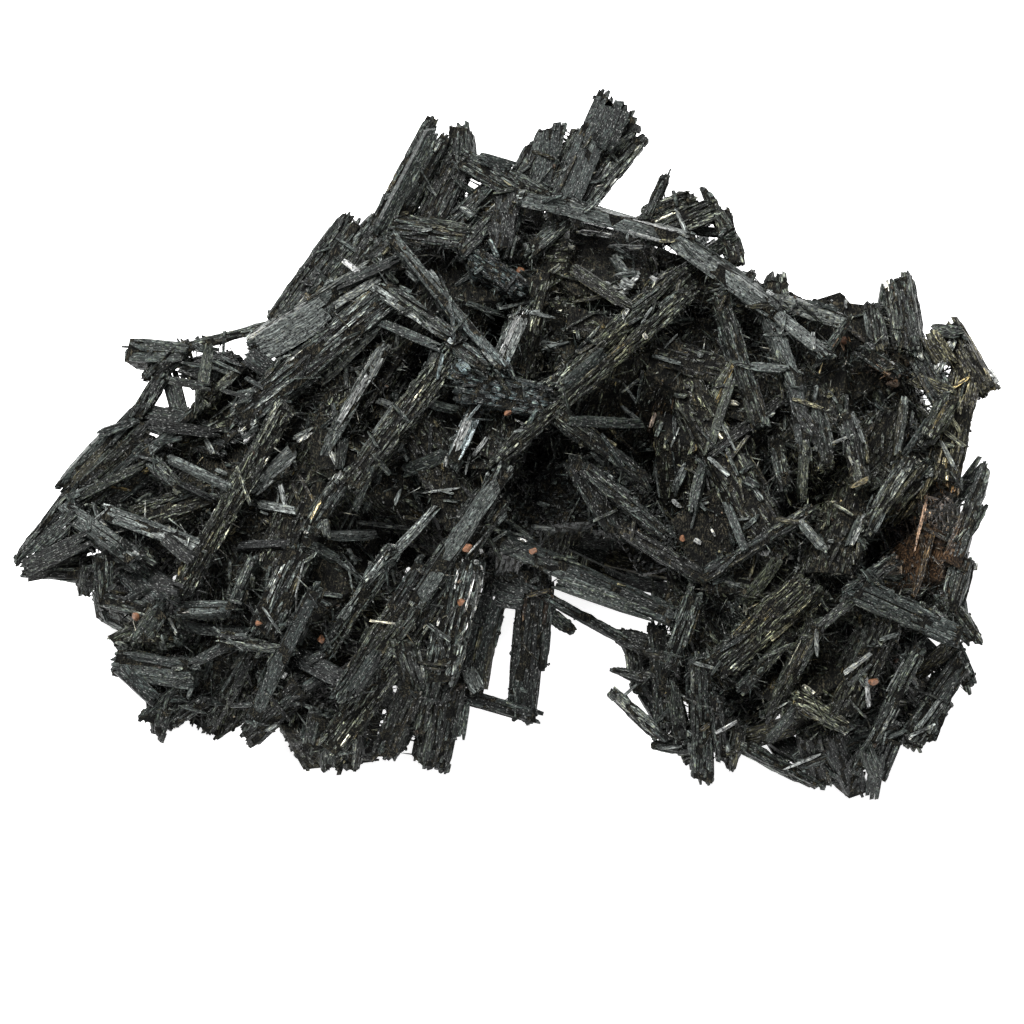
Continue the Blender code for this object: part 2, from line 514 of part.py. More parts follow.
def floor_cutter():
    mesh = bmesh.new()
    bmesh.ops.create_cube(mesh, size=1.0)
    bmesh.ops.scale(mesh, vec=(200.0, 200.0, 20.0), verts=mesh.verts)
    bmesh.ops.translate(mesh, vec=(0.0, 0.0, -10.0), verts=mesh.verts)
    return mesh_object("floor_cutter", mesh)


def evaluated_mesh(made):
    graph = bpy.context.evaluated_depsgraph_get()
    mesh = bmesh.new()
    mesh.from_object(made, graph)
    return mesh


def keep_largest(mesh):
    """Drops every shell but the largest: loose slivers and the walls of sealed pockets."""
    left = set(mesh.faces)
    shells = []
    while left:
        stack = [left.pop()]
        shell = list(stack)
        while stack:
            for edge in stack.pop().edges:
                for face in edge.link_faces:
                    if face in left:
                        left.remove(face)
                        stack.append(face)
                        shell.append(face)
        shells.append(shell)
    for shell in sorted(shells, key=len)[:-1]:
        bmesh.ops.delete(mesh, geom=shell, context="FACES")


def separate_pieces(mesh, into):
    """Makes an object of every piece in a mesh, for the union, which wants each one whole."""
    left = set(mesh.verts)
    while left:
        stack = [left.pop()]
        piece = list(stack)
        while stack:
            for edge in stack.pop().link_edges:
                for vert in edge.verts:
                    if vert in left:
                        left.remove(vert)
                        stack.append(vert)
                        piece.append(vert)
        number = {vert: index for index, vert in enumerate(piece)}
        faces = {face for vert in piece for face in vert.link_faces}
        data = bpy.data.meshes.new("piece")
        data.from_pydata([vert.co for vert in piece], [], [[number[v] for v in face.verts] for face in faces])
        into.objects.link(bpy.data.objects.new("piece", data))
    mesh.free()


def crystal_mass():
    mesh = bmesh.new()
    add_table_laths(mesh)
    add_notch_wall(mesh, random.Random(2))
    add_bed_laths(mesh, random.Random(3))
    add_side_laths(mesh, random.Random(4))
    add_stout_prisms(mesh, random.Random(5))
    pieces = bpy.data.collections.new("pieces")
    bpy.context.scene.collection.children.link(pieces)
    separate_pieces(mesh, pieces)
    mass = pieces.objects[0]
    pieces.objects.unlink(mass)
    bpy.context.scene.collection.objects.link(mass)
    joined = mass.modifiers.new("grown_together", "BOOLEAN")
    joined.operation = "UNION"
    joined.solver = "EXACT"
    joined.operand_type = "COLLECTION"
    joined.collection = pieces
    cut = mass.modifiers.new("flat_rest", "BOOLEAN")
    cut.operation = "DIFFERENCE"
    cut.solver = "EXACT"
    cut.object = floor_cutter()
    mesh = evaluated_mesh(mass)
    keep_largest(mesh)
    for helper in (mass, cut.object, *pieces.objects):
        bpy.data.objects.remove(helper)
    bpy.data.collections.remove(pieces)
    return mesh


def aegirine_material():
    material = bpy.data.materials.new("aegirine")
    material.use_nodes = True
    shader = material.node_tree.nodes["Principled BSDF"]
    shader.inputs["Base Color"].default_value = (0.035, 0.040, 0.038, 1.0)
    shader.inputs["Roughness"].default_value = 0.42
    shader.inputs["Metallic"].default_value = 0.0
    return material


def feldspar_material():
    material = bpy.data.materials.new("feldspar")
    material.use_nodes = True
    shader = material.node_tree.nodes["Principled BSDF"]
    shader.inputs["Base Color"].default_value = (0.46, 0.19, 0.09, 1.0)
    shader.inputs["Roughness"].default_value = 0.65
    shader.inputs["Metallic"].default_value = 0.0
    return material


def grain_mesh(centre, long_half, short_half, rng):
    mesh = bmesh.new()
    bmesh.ops.create_icosphere(mesh, subdivisions=1, radius=1.0)
    for vert in mesh.verts:
        vert.co *= rng.uniform(0.82, 1.0)
    bmesh.ops.scale(mesh, vec=(long_half, short_half, short_half * 0.9), verts=mesh.verts)
    turn = Matrix.Rotation(rng.uniform(0, math.pi), 3, "Z") @ Matrix.Rotation(rng.uniform(-0.4, 0.4), 3, "Y")
    bmesh.ops.rotate(mesh, matrix=turn, verts=mesh.verts)
    bmesh.ops.translate(mesh, vec=centre, verts=mesh.verts)
    return mesh


def finish(mesh, name, material):
    """Moves a mesh to the centred frame, turns it to metres and makes its object."""
    bmesh.ops.translate(mesh, vec=-CENTRE, verts=mesh.verts)
    bmesh.ops.scale(mesh, vec=(MM, MM, MM), verts=mesh.verts)
    return mesh_object(name, mesh, material)


def add_grains(surface, material):
    """Each grain comes to rest just clear of the crystals in front of it."""
    rng = random.Random(3)
    tree = BVHTree.FromBMesh(surface)
    for index, (across, up, long_half, short_half) in enumerate(GRAINS, 1):
        far = place((across, up, 0.0)) + TO_VIEWER * 60.0
        centre = tree.ray_cast(far, -TO_VIEWER)[0]
        while tree.find_nearest(centre)[3] < long_half + GRAIN_CLEARANCE:
            centre += TO_VIEWER * GRAIN_CLEARANCE / 2
        grain = grain_mesh(centre, long_half, short_half, rng)
        finish(grain, f"feldspar_grain_{index:02d}", material)


def main():
    for made in list(bpy.data.objects):
        bpy.data.objects.remove(made)
    surface = crystal_mass()
    add_grains(surface, feldspar_material())
    finish(surface, "aegirine_crystals", aegirine_material())


main()
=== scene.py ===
"""Aegirine cluster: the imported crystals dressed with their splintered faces, broken ends, small crystals,
needles, crumbs and feldspar grains.

Lengths are in millimetres in the part's own plan frame, which puts the middle of the box at CENTRE, and
are turned to metres when a mesh is made.  A place on the cluster is often written (across, up): across is
X, and up is measured in an oblique plane that looks down on the front by VIEW_ELEVATION.
"""

import collections
import math
import random

import bmesh
import bpy
import numpy as np
from mathutils import Matrix, Vector, noise
from mathutils.bvhtree import BVHTree


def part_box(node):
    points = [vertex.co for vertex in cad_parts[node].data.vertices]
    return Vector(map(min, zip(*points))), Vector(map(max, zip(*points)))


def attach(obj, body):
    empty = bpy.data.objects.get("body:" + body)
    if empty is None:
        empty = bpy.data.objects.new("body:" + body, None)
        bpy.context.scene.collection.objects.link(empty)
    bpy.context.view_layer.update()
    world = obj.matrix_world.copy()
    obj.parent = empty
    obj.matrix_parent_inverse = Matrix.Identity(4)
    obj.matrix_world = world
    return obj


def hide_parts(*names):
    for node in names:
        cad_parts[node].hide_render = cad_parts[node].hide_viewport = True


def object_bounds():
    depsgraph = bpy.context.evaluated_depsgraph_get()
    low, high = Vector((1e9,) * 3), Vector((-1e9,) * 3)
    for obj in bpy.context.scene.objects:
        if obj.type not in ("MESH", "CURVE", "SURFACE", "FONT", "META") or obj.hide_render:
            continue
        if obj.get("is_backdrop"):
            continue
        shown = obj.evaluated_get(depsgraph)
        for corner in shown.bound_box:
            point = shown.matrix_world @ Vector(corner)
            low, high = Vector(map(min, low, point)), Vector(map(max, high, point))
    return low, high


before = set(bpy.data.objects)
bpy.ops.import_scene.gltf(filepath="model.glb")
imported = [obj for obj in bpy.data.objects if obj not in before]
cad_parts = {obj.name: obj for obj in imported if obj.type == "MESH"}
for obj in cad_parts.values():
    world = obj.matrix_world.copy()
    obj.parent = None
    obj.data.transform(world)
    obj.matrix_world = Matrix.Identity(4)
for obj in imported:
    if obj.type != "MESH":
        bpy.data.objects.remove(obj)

bl_info = {
    "name": "Aegirine cluster",
    "version": (1, 0, 0),
    "blender": (4, 5, 0),
    "location": "View3D > Sidebar > Aegirine",
    "description": "Dresses the packed aegirine crystals and their feldspar grains",
    "category": "Object",
}

MM = 0.001
CENTRE = Vector((-0.5555, -15.5175, 0.0))
CRYSTALS = "aegirine_crystals"
GRAIN_PREFIX = "feldspar_grain_"
# No blade passes the solids' box by more than BOX_SPARE, or comes lower than LOWEST over the floor.
CAD_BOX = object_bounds()
BOX_SPARE = 0.9
LOWEST = 0.02
# How far apart the grain of two blades may be on its map.
GRAIN_SHIFT = 500.0

VIEW_ELEVATION = math.radians(55)
VIEW_SIN = math.sin(VIEW_ELEVATION)
VIEW_COS = math.cos(VIEW_ELEVATION)
TO_VIEWER = Vector((0.0, -VIEW_COS, VIEW_SIN))
UPWARD = Vector((0.0, VIEW_SIN, VIEW_COS))

# The mound's height over a coarse net in the oblique plane: one row for each step up.
MOUND_ACROSS = (-60, -40, -20, 0, 20, 40, 60)
MOUND_UP = (-45, -30, -15, 0, 15, 30, 45)
MOUND_HEIGHT = (
    (1, 1, 1, 1, 1, 1, 1),
    (5, 9, 14, 10, 14, 19, 12),
    (12, 18, 25, 22, 24, 28, 22),
    (18, 24, 31, 33, 32, 33, 27),
    (22, 27, 34, 37, 36, 34, 29),
    (26, 30, 36, 38, 38, 36, 30),
    (30, 34, 40, 42, 42, 38, 34),
)

# The mass stands on this plan, as (x, y) corners; NOTCH_FROM to NOTCH_TO bound the gap between its lobes.
PLAN = (
    (57, -20), (57, -8), (54, 3), (45, 8), (34, 8), (28, 12), (20, 17), (8, 20), (-5, 20), (-16, 17),
    (-24, 10), (-32, 3), (-42, -3), (-50, -12), (-53, -25), (-50, -36), (-46, -43), (-36, -46),
    (-28, -50), (-20, -52), (-9, -51), (-7, -40), (-3, -27), (2, -24), (7, -21), (14, -21), (18, -27),
    (17, -42), (21, -50), (30, -51), (40, -54), (48, -54), (53, -46), (56, -36),
)
BACK_TO = 14
NOTCH_FROM = 20
NOTCH_TO = 28
# What is spread over the plan lies in rows between these corners. The mass slopes to the ground over
# SIDE_REACH, and over BACK_REACH along the edges up to BACK_TO.
SPREAD_FROM = (-58.0, -54.0)
SPREAD_TO = (59.0, 21.0)
ROW_SHARE = 0.87
SIDE_REACH = 8.0
BACK_REACH = 16.0
SIDE_TOP = 40.0
FIRST_HEIGHT = 20.0
HEIGHT_ROUNDS = 16
POINT_PLAY = 0.15
DRAW_IN = 0.8

# Stout prisms deep in the mass, the wall behind the notch, broad laths under the surface, and side laths.
PRISM_STEP = 13.0
PRISM_RADIUS = 8.0
PRISM_SIDES = 5
PRISM_COVER = 4.0
PRISM_LEAN = (3.0, 10.0)
PRISM_INSET = 5.0
PRISM_END_INSET = 4.0
PRISM_GROUNDED = 0.3
PRISM_FOOT = (2.5, 8.0)
PRISM_LEAST = 4.0
PRISM_TOP_SLOPE = 0.5
PRISM_EDGE = 0.5
NOTCH_WALL = (
    ((0.0, -21.0, -1.0), (1.0, -30.0, 21.0), 8.0),
    ((6.5, -15.0, 1.0), (7.5, -26.0, 20.0), 9.0),
    ((13.5, -15.0, -1.0), (13.0, -26.5, 19.0), 9.0),
    ((19.5, -20.0, 1.0), (18.5, -31.0, 17.0), 8.0),
)
NOTCH_TIP = 0.9
BED_STEP = 17.0
BED_INSET = 2.0
BED_END_INSET = 1.0
BED_LENGTH = (19.0, 28.0)
BED_WIDTH = (5.4, 8.0)
BED_SINK = (0.3, 1.8)
BED_LOWEST = 2.0
BED_TIP = 0.85
SIDE_STEP_BACK = 8.0
SIDE_STEP_FRONT = 18.0
SIDE_LENGTH = (13.0, 26.0)
SIDE_WIDTH = (1.6, 4.2)
SIDE_SWING = 1.1
SIDE_LEAN = (0.3, 0.6)
SIDE_RISE = 0.85
SIDE_OUT = (-1.5, 0.5)
SIDE_FOOT = (1.0, 9.0)
SIDE_BACK = 0.4
SIDE_TIP = (0.5, 0.9)
JUT_SHARE = 0.35
JUT_BEHIND = 5.0
JUT_ROOT = 6.0
JUT_LENGTH = 13.0
JUT_RISE = (-0.7, 0.1)
JUT_HEIGHT = (0.35, 0.85)

# A lath is DEPTH_SHARE of its width, and DEPTH_MORE, from front to back. LIFT_SHARE scales every lift, and
# the rest turns a lath about its length, narrows its start, and slants and dips its ends.
LIFT_SHARE = 0.75
DEPTH_SHARE = 0.8
DEPTH_MORE = 1.6
FACING_SWING = 16.0
START_SHARE = 0.92
END_SLANT = 0.5
END_DIP = 0.35
SIX_SIDED_FROM = 4.5
FOUR_SIDED = ((-0.50, -0.50), (0.50, -0.44), (0.47, 0.50), (-0.50, 0.42))
SIX_SIDED = ((-0.50, -0.20), (-0.30, -0.50), (0.34, -0.50), (0.50, -0.05), (0.36, 0.50), (-0.34, 0.46))

# The laths on view, as (start, end, width, width left at the end, finish); an end is (across, up, lift).
LEFT_EDGE = (
    ((-55.0, -5.4, 0.0), (-61.9, -14.3, 0.5), 1.5, 0.6, "ridged"),
    ((-53.4, -11.5, 1.5), (-61.4, -15.0, 1.0), 1.2, 0.5, "ridged-"),
    ((-51.0, -15.5, 0.0), (-61.8, -15.3, 0.0), 2.0, 0.3, "ridged"),
    ((-53.0, -15.5, 0.5), (-53.6, -18.6, -1.5), 2.0, 0.8, "ridged--"),
    ((-56.0, -7.5, 2.5), (-47.1, -13.5, 2.5), 2.5, 0.9, "pale--"),
    ((-53.4, -8.2, 0.5), (-45.2, -13.6, 0.0), 1.8, 0.9, "ridged-"),
    ((-51.1, -7.9, 3.0), (-38.6, -12.4, 3.0), 2.1, 0.8, "pale--"),
    ((-50.5, 0.9, 0.5), (-56.0, -5.0, 0.5), 2.8, 0.8, "flat"),
    ((-45.9, -1.0, 1.0), (-41.6, -4.8, 1.0), 2.2, 0.5, "ridged"),
    ((-50.9, -13.6, 2.0), (-50.8, -19.2, 0.0), 2.2, 0.8, "ridged"),
    ((-51.8, -18.8, 0.0), (-45.2, -20.2, 0.5), 1.9, 0.9, "ridged-"),
    ((-52.6, -10.0, 0.0), (-60.8, -14.9, 0.5), 4.4, 0.35, "streaked-"),
    ((-53.2, -5.6, -0.5), (-45.4, 1.6, -0.5), 5.2, 0.9, "ridged-"),
    ((-43.8, -0.6, -1.0), (-52.4, -8.0, -0.5), 5.6, 0.8, "dark"),
    ((-43.6, 3.4, -2.0), (-36.0, 0.6, -2.0), 6.0, 0.9, "dark--"),
    ((-40.6, 8.2, -1.0), (-34.4, 9.6, -0.5), 4.2, 0.8, "dark--"),
)
UPPER_LEFT = (
    ((-41.2, 12.2, 1.0), (-48.2, 12.4, 1.0), 2.4, 1.25, "flat-"),
    ((-41.6, 12.0, 0.5), (-45.2, 8.4, 0.0), 2.4, 0.8, "ridged"),
    ((-44.0, 9.2, 0.5), (-47.2, 4.0, 0.5), 1.7, 0.9, "ridged+"),
    ((-46.8, 5.2, 0.5), (-51.0, 0.8, 0.5), 1.6, 0.9, "flat--"),
    ((-41.5, 12.4, 0.5), (-30.0, 15.2, 1.0), 1.0, 0.9, "ridged+++"),
    ((-46.6, -1.4, 1.0), (-32.6, 11.3, 1.5), 1.2, 0.8, "pale--"),
)
LOWER_LEFT = (
    ((-41.8, -19.9, 1.5), (-34.8, -19.8, 1.5), 1.6, 0.9, "flat"),
    ((-35.2, -20.2, 2.0), (-32.6, -14.0, 2.0), 1.6, 0.9, "flat"),
    ((-26.5, -12.8, 1.5), (-31.2, -23.0, 2.5), 4.2, 0.9, "streaked--"),
    ((-36.6, -24.0, 2.5), (-27.4, -25.2, 3.0), 1.6, 0.5, "ridged+"),
    ((-46.5, -24.4, 1.5), (-43.8, -20.3, 2.0), 2.6, 0.9, "flat+"),
    ((-40.2, -28.4, 1.5), (-49.8, -26.8, 1.5), 3.8, 0.9, "flat"),
    ((-46.8, -22.6, 0.5), (-50.3, -24.0, 0.0), 1.9, 0.8, "ridged"),
    ((-41.0, -30.6, 0.0), (-45.4, -34.4, -1.0), 3.6, 0.8, "ridged-"),
    ((-43.4, -32.6, 0.0), (-44.2, -35.6, 0.0), 1.8, 0.6, "ridged--"),
    ((-38.8, -31.6, 0.0), (-42.2, -34.2, 0.0), 1.9, 0.6, "ridged--"),
    ((-26.4, -30.0, 1.5), (-33.2, -36.8, -0.5), 4.6, 0.7, "ridged----"),
)
BACK_LEFT = (
    ((-29.8, 16.0, 1.5), (-20.4, 29.2, 2.0), 2.0, 0.8, "ridged+"),
    ((-27.8, 17.0, 2.5), (-19.4, 28.3, 3.0), 1.4, 0.8, "ridged+"),
    ((-25.9, 17.5, 2.0), (-17.2, 28.6, 2.5), 1.8, 0.8, "ridged"),
    ((-20.6, 21.6, 2.0), (-16.4, 28.2, 2.0), 1.6, 0.8, "ridged---"),
    ((-19.0, 22.6, 2.0), (-14.2, 28.0, 2.0), 1.6, 0.8, "ridged--"),
    ((-16.0, 22.8, 3.5), (-32.4, 12.0, 4.0), 3.2, 1.2, "smooth+"),
    ((-14.6, 19.8, 4.0), (-33.8, 3.7, 5.0), 5.0, 0.9, "streaked"),
    ((-28.0, 5.4, 4.0), (-41.2, -18.2, 3.5), 2.6, 0.9, "fibrous"),
    ((-15.6, 12.9, 1.0), (-23.5, -1.2, 0.5), 1.5, 0.7, "pale"),
    ((-6.8, 13.4, 2.5), (-20.2, -4.4, 2.0), 3.0, 0.9, "fibrous"),
    ((-21.3, -4.0, 2.0), (-25.1, -10.2, 1.5), 2.2, 0.9, "bright"),
)
BRIGHT_LATHS = (
    ((-17.5, 20.0, 4.5), (-7.2, 13.2, 4.5), 1.2, 0.9, "pale+"),
    ((-15.9, 20.6, 5.0), (-6.6, 13.9, 5.0), 1.2, 0.9, "ridged"),
    ((-7.4, 13.2, 4.0), (-3.2, 10.2, 4.0), 1.8, 0.9, "ridged"),
    ((-15.2, 26.7, 4.7), (-1.1, 10.0, 4.7), 1.4, 0.9, "pale--"),
    ((1.8, 17.2, 2.7), (-1.2, 10.4, 2.7), 1.6, 0.9, "pale++"),
    ((-4.2, 5.2, 0.8), (-7.2, -1.7, -0.2), 1.8, 0.9, "pale+"),
    ((-5.2, 24.4, 2.5), (0.8, 20.4, 2.5), 3.2, 0.7, "blocky--"),
    ((-7.0, 8.0, 2.8), (4.6, 5.6, 2.8), 4.4, 0.8, "blocky"),
)
FAN = (
    ((-14.6, -13.0, 0.2), (-23.9, -26.7, -0.4), 2.0, 0.9, "streaked"),
    ((-11.4, -14.4, 3.5), (-21.9, -30.7, 4.0), 1.8, 0.9, "streaked--"),
    ((-8.2, -13.8, 4.0), (-20.3, -31.0, 4.5), 2.8, 0.8, "ridged"),
    ((-6.6, -14.4, 4.0), (-22.8, -37.8, 3.0), 4.2, 0.8, "fibrous+"),
    ((-0.8, -2.6, 4.5), (-12.2, -19.6, 5.5), 2.2, 0.8, "smooth"),
    ((-2.0, -5.4, 3.0), (-12.0, -20.6, 4.0), 4.4, 0.8, "ridged"),
    ((-5.8, -13.8, 4.5), (-9.2, -29.2, 5.0), 4.2, 0.9, "bright"),
    ((-9.4, -27.6, 4.0), (-11.7, -35.8, 2.5), 1.6, 0.9, "ridged"),
    ((-7.4, -29.4, 3.5), (-9.5, -39.9, 1.5), 5.4, 0.9, "ridged---"),
    ((-12.6, -29.8, 3.0), (-16.4, -38.6, 1.0), 3.8, 0.8, "ridged---"),
    ((-24.2, -33.4, 2.0), (-25.2, -38.0, 1.0), 2.8, 0.8, "ridged-"),
    ((-22.4, -36.0, 1.5), (-22.9, -40.2, 1.0), 1.8, 0.8, "ridged-"),
    ((-19.8, -35.4, 1.5), (-20.3, -40.2, 1.0), 1.8, 0.8, "ridged--"),
    ((-1.6, -19.6, 0.0), (-4.4, -30.6, 1.5), 2.0, 0.9, "ridged++"),
    ((-6.4, -30.7, 1.0), (3.0, -33.5, 0.0), 1.8, 0.9, "dark-"),
    ((2.6, -15.4, 0.0), (1.0, -33.6, 0.0), 3.8, 0.9, "dark-"),
    ((4.8, -17.6, -0.5), (3.9, -27.6, 0.0), 1.1, 0.9, "dark+"),
    ((4.6, -20.4, -1.0), (7.6, -22.7, -1.0), 1.7, 0.6, "ridged+"),
)
TOP = (
    ((-16.2, 28.4, 2.0), (-9.9, 41.8, 4.0), 3.2, 0.4, "ridged-"),
    ((-13.6, 29.6, 2.5), (-8.4, 39.2, 3.5), 1.8, 0.8, "ridged"),
    ((-10.4, 28.6, 1.5), (-6.0, 38.2, 3.0), 4.0, 0.8, "ridged---"),
    ((-6.4, 35.2, 2.0), (-6.8, 40.4, 3.0), 2.8, 0.9, "ridged"),
    ((-6.4, 36.4, 3.5), (0.8, 32.2, 3.5), 3.0, 0.8, "ridged"),
    ((-1.7, 34.7, 3.0), (5.2, 30.8, 3.0), 1.8, 0.9, "ridged+"),
    ((-8.0, 28.0, 1.0), (-1.0, 33.9, 2.0), 2.3, 0.9, "ridged+"),
    ((2.6, 31.0, 1.0), (5.2, 40.4, 3.0), 4.2, 0.8, "flat"),
    ((0.4, 32.8, 1.5), (3.0, 38.2, 2.5), 2.6, 0.7, "ridged"),
    ((6.3, 30.2, 2.5), (12.2, 44.0, 4.0), 4.2, 0.8, "flat"),
    ((9.0, 30.2, 1.5), (16.2, 38.9, 2.5), 2.2, 0.8, "ridged"),
    ((9.6, 33.6, 2.0), (15.4, 41.4, 3.0), 3.2, 0.7, "ridged-"),
    ((-15.2, 27.4, 3.5), (-4.8, 25.8, 3.5), 3.0, 0.8, "ridged+"),
    ((-6.4, 24.6, 3.5), (-1.9, 29.5, 3.5), 2.1, 0.8, "ridged--"),
    ((-0.5, 32.6, 3.0), (-1.6, 25.2, 3.0), 3.0, 0.9, "dark--"),
    ((2.4, 25.0, 0.0), (7.0, 29.0, 1.5), 2.1, 0.8, "ridged++"),
    ((0.8, 31.2, 4.5), (7.6, 29.8, 4.5), 1.9, 0.9, "smooth+"),
    ((6.4, 30.1, 4.5), (22.4, 25.4, 4.5), 1.9, 0.9, "smooth++"),
    ((19.4, 26.4, 4.5), (32.4, 17.0, 4.5), 2.2, 0.9, "smooth"),
    ((31.8, 17.5, 4.0), (39.0, 11.8, 4.0), 1.7, 0.7, "smooth-"),
    ((31.4, 18.8, 2.5), (41.8, 15.7, 2.5), 2.0, 0.7, "smooth++"),
    ((4.4, 31.8, 1.0), (8.9, 40.2, 2.2), 3.0, 0.8, "ridged"),
)
CREST = (
    ((16.6, 28.2, 1.5), (19.2, 34.3, 2.5), 1.1, 0.9, "ridged"),
    ((27.2, 27.4, 2.0), (24.1, 32.6, 2.5), 1.3, 0.6, "ridged+"),
    ((17.6, 27.0, 2.0), (25.8, 30.6, 2.5), 2.9, 0.9, "fibrous"),
    ((26.2, 30.0, 2.0), (28.2, 23.6, 1.5), 2.3, 0.8, "fibrous"),
    ((17.0, 29.4, 1.5), (22.8, 31.6, 2.0), 2.6, 0.8, "fibrous"),
)
CENTRE_RIGHT = (
    ((21.9, 19.0, 4.5), (-1.7, -1.6, 4.5), 1.6, 0.9, "fibrous"),
    ((22.6, 20.8, 2.5), (7.7, 7.0, 2.5), 5.6, 0.8, "fibrous"),
    ((26.2, 19.2, 2.0), (31.2, 3.4, 1.5), 1.9, 0.9, "ridged+"),
    ((32.0, 17.6, 3.0), (35.3, 8.1, 3.0), 2.0, 0.9, "flat++"),
    ((35.0, 9.0, 3.0), (36.2, -0.6, 2.0), 2.0, 0.8, "flat-"),
    ((5.9, 4.2, 3.6), (16.8, -3.9, -1.0), 1.8, 0.9, "ridged"),
    ((9.2, -2.6, 1.0), (18.8, -10.6, 1.5), 1.8, 0.9, "ridged-"),
    ((7.6, -2.0, 0.5), (12.8, -10.6, 0.0), 2.5, 0.8, "ridged-"),
    ((13.4, -9.6, 0.5), (23.6, -15.9, 1.0), 1.9, 0.9, "ridged--"),
    ((37.0, -7.6, 2.0), (23.3, -16.4, 1.5), 1.5, 0.8, "ridged-"),
    ((35.0, 5.8, 2.5), (37.9, 1.2, 2.5), 2.0, 0.8, "ridged-"),
    ((38.0, 5.6, 2.5), (39.3, -1.8, 2.5), 1.5, 0.9, "ridged+"),
    ((41.0, 4.4, 2.5), (43.0, -4.3, 2.5), 2.0, 0.9, "ridged"),
    ((32.8, 1.2, -3.0), (33.9, -4.6, -3.5), 1.8, 0.8, "ridged++"),
    ((49.3, -1.0, 1.5), (44.0, -9.4, 1.5), 1.8, 0.8, "ridged+++"),
    ((52.2, -2.0, -0.9), (47.6, -7.4, -0.9), 1.9, 0.9, "ridged+++"),
    ((-2.4, -11.6, 1.2), (19.8, -21.3, 1.7), 2.2, 0.9, "flat-"),
    ((-0.4, -15.8, -0.5), (15.8, -24.7, 1.0), 1.2, 0.9, "dark"),
)
RIGHT_EDGE = (
    ((33.6, 16.2, 1.0), (33.2, 21.5, 2.0), 2.8, 0.9, "ridged"),
    ((28.6, 19.8, 1.5), (30.2, 22.0, 2.0), 1.2, 0.9, "ridged-"),
    ((49.4, 12.6, 1.5), (48.1, 21.3, 2.5), 3.8, 0.9, "ridged"),
    ((46.2, 12.6, 1.0), (45.1, 18.3, 1.5), 2.0, 0.8, "ridged"),
    ((54.0, 15.0, 1.5), (58.2, 7.6, 1.5), 3.8, 0.9, "brown"),
    ((56.8, 10.4, 1.5), (54.0, -3.6, 1.0), 4.2, 0.8, "brown"),
    ((54.8, 6.6, 3.5), (52.0, 2.0, 3.0), 2.0, 0.9, "ridged++"),
    ((44.0, 11.8, 1.2), (48.0, 9.3, 0.7), 1.8, 0.8, "ridged+++"),
    ((38.8, 11.8, 3.0), (42.3, 16.8, 3.0), 1.0, 0.5, "ridged"),
    ((54.6, -14.4, 0.5), (59.2, -1.8, 1.0), 2.9, 0.4, "ridged"),
    ((56.0, -11.6, 0.5), (59.2, -7.0, 0.5), 1.7, 0.5, "ridged"),
    ((43.0, -17.8, 4.5), (55.8, -23.6, 4.0), 3.0, 0.9, "pale--"),
    ((48.1, -13.8, 2.5), (41.9, -18.2, 3.5), 1.8, 0.9, "ridged"),
    ((55.9, -13.4, 0.5), (54.0, -20.2, 1.0), 2.5, 0.9, "ridged++"),
    ((54.0, -19.6, 1.0), (57.5, -24.2, 1.0), 2.5, 0.8, "ridged++"),
    ((56.0, -26.6, 2.0), (49.8, -35.4, 3.0), 2.8, 0.9, "ridged++"),
    ((54.6, -24.6, 0.0), (57.1, -29.8, 0.0), 2.2, 0.8, "ridged++"),
    ((53.6, -29.6, 0.5), (51.4, -36.8, 0.0), 3.4, 0.8, "ridged+"),
    ((50.6, -25.0, 4.0), (42.8, -40.2, 3.5), 1.8, 0.8, "ridged+"),
    ((46.8, -21.3, 2.5), (41.5, -33.0, 2.5), 5.4, 0.9, "fibrous--"),
    ((35.7, -31.1, 3.0), (42.0, -34.8, 3.0), 1.8, 0.9, "ridged+++"),
    ((37.7, -22.3, 3.5), (31.8, -34.2, 2.5), 2.3, 0.6, "ridged"),
    ((28.8, -36.9, 1.0), (38.2, -41.6, 0.5), 1.4, 0.9, "ridged-"),
    ((40.2, -36.0, 1.5), (43.6, -43.6, 0.0), 4.8, 0.8, "dark-"),
    ((47.4, -36.4, 1.0), (45.6, -41.4, 0.5), 2.6, 0.8, "ridged-"),
    ((36.8, -36.4, 1.0), (38.6, -42.4, 0.5), 3.4, 0.8, "ridged---"),
    ((23.4, -26.6, 2.5), (23.8, -41.6, 1.0), 2.7, 0.9, "ridged-"),
    ((18.8, -35.9, 1.0), (12.8, -30.3, 1.5), 1.3, 0.8, "ridged++"),
    ((21.4, -37.0, 0.5), (17.4, -36.6, 0.5), 1.5, 0.5, "ridged--"),
    ((16.8, -28.6, 1.0), (12.4, -27.5, 1.0), 1.5, 0.5, "ridged-"),
    ((17.6, -24.4, 1.0), (12.6, -23.2, 1.0), 2.4, 0.7, "ridged-"),
    ((22.4, -18.6, 3.0), (19.4, -27.4, 2.5), 2.1, 0.9, "ridged+"),
    ((36.2, -17.0, 2.5), (25.2, -27.3, 2.5), 5.0, 0.9, "fibrous-"),
    ((34.7, -23.0, 1.3), (28.4, -30.1, 0.8), 1.5, 0.9, "ridged"),
    ((17.8, -22.4, 1.0), (18.8, -34.9, 1.0), 2.3, 0.9, "ridged--"),
    ((15.0, -24.6, 0.0), (15.8, -30.4, 0.0), 2.0, 0.8, "ridged"),
    ((20.0, -29.8, 1.5), (21.3, -37.0, 1.0), 1.7, 0.9, "ridged"),
    ((25.3, -31.2, 1.5), (26.1, -39.0, 1.0), 1.7, 0.8, "ridged--"),
    ((28.4, -35.4, 1.0), (27.5, -40.4, 1.0), 1.8, 0.6, "ridged---"),
    ((50.4, 12.4, 0.5), (54.0, 6.0, 0.5), 3.4, 0.9, "ridged"),
)
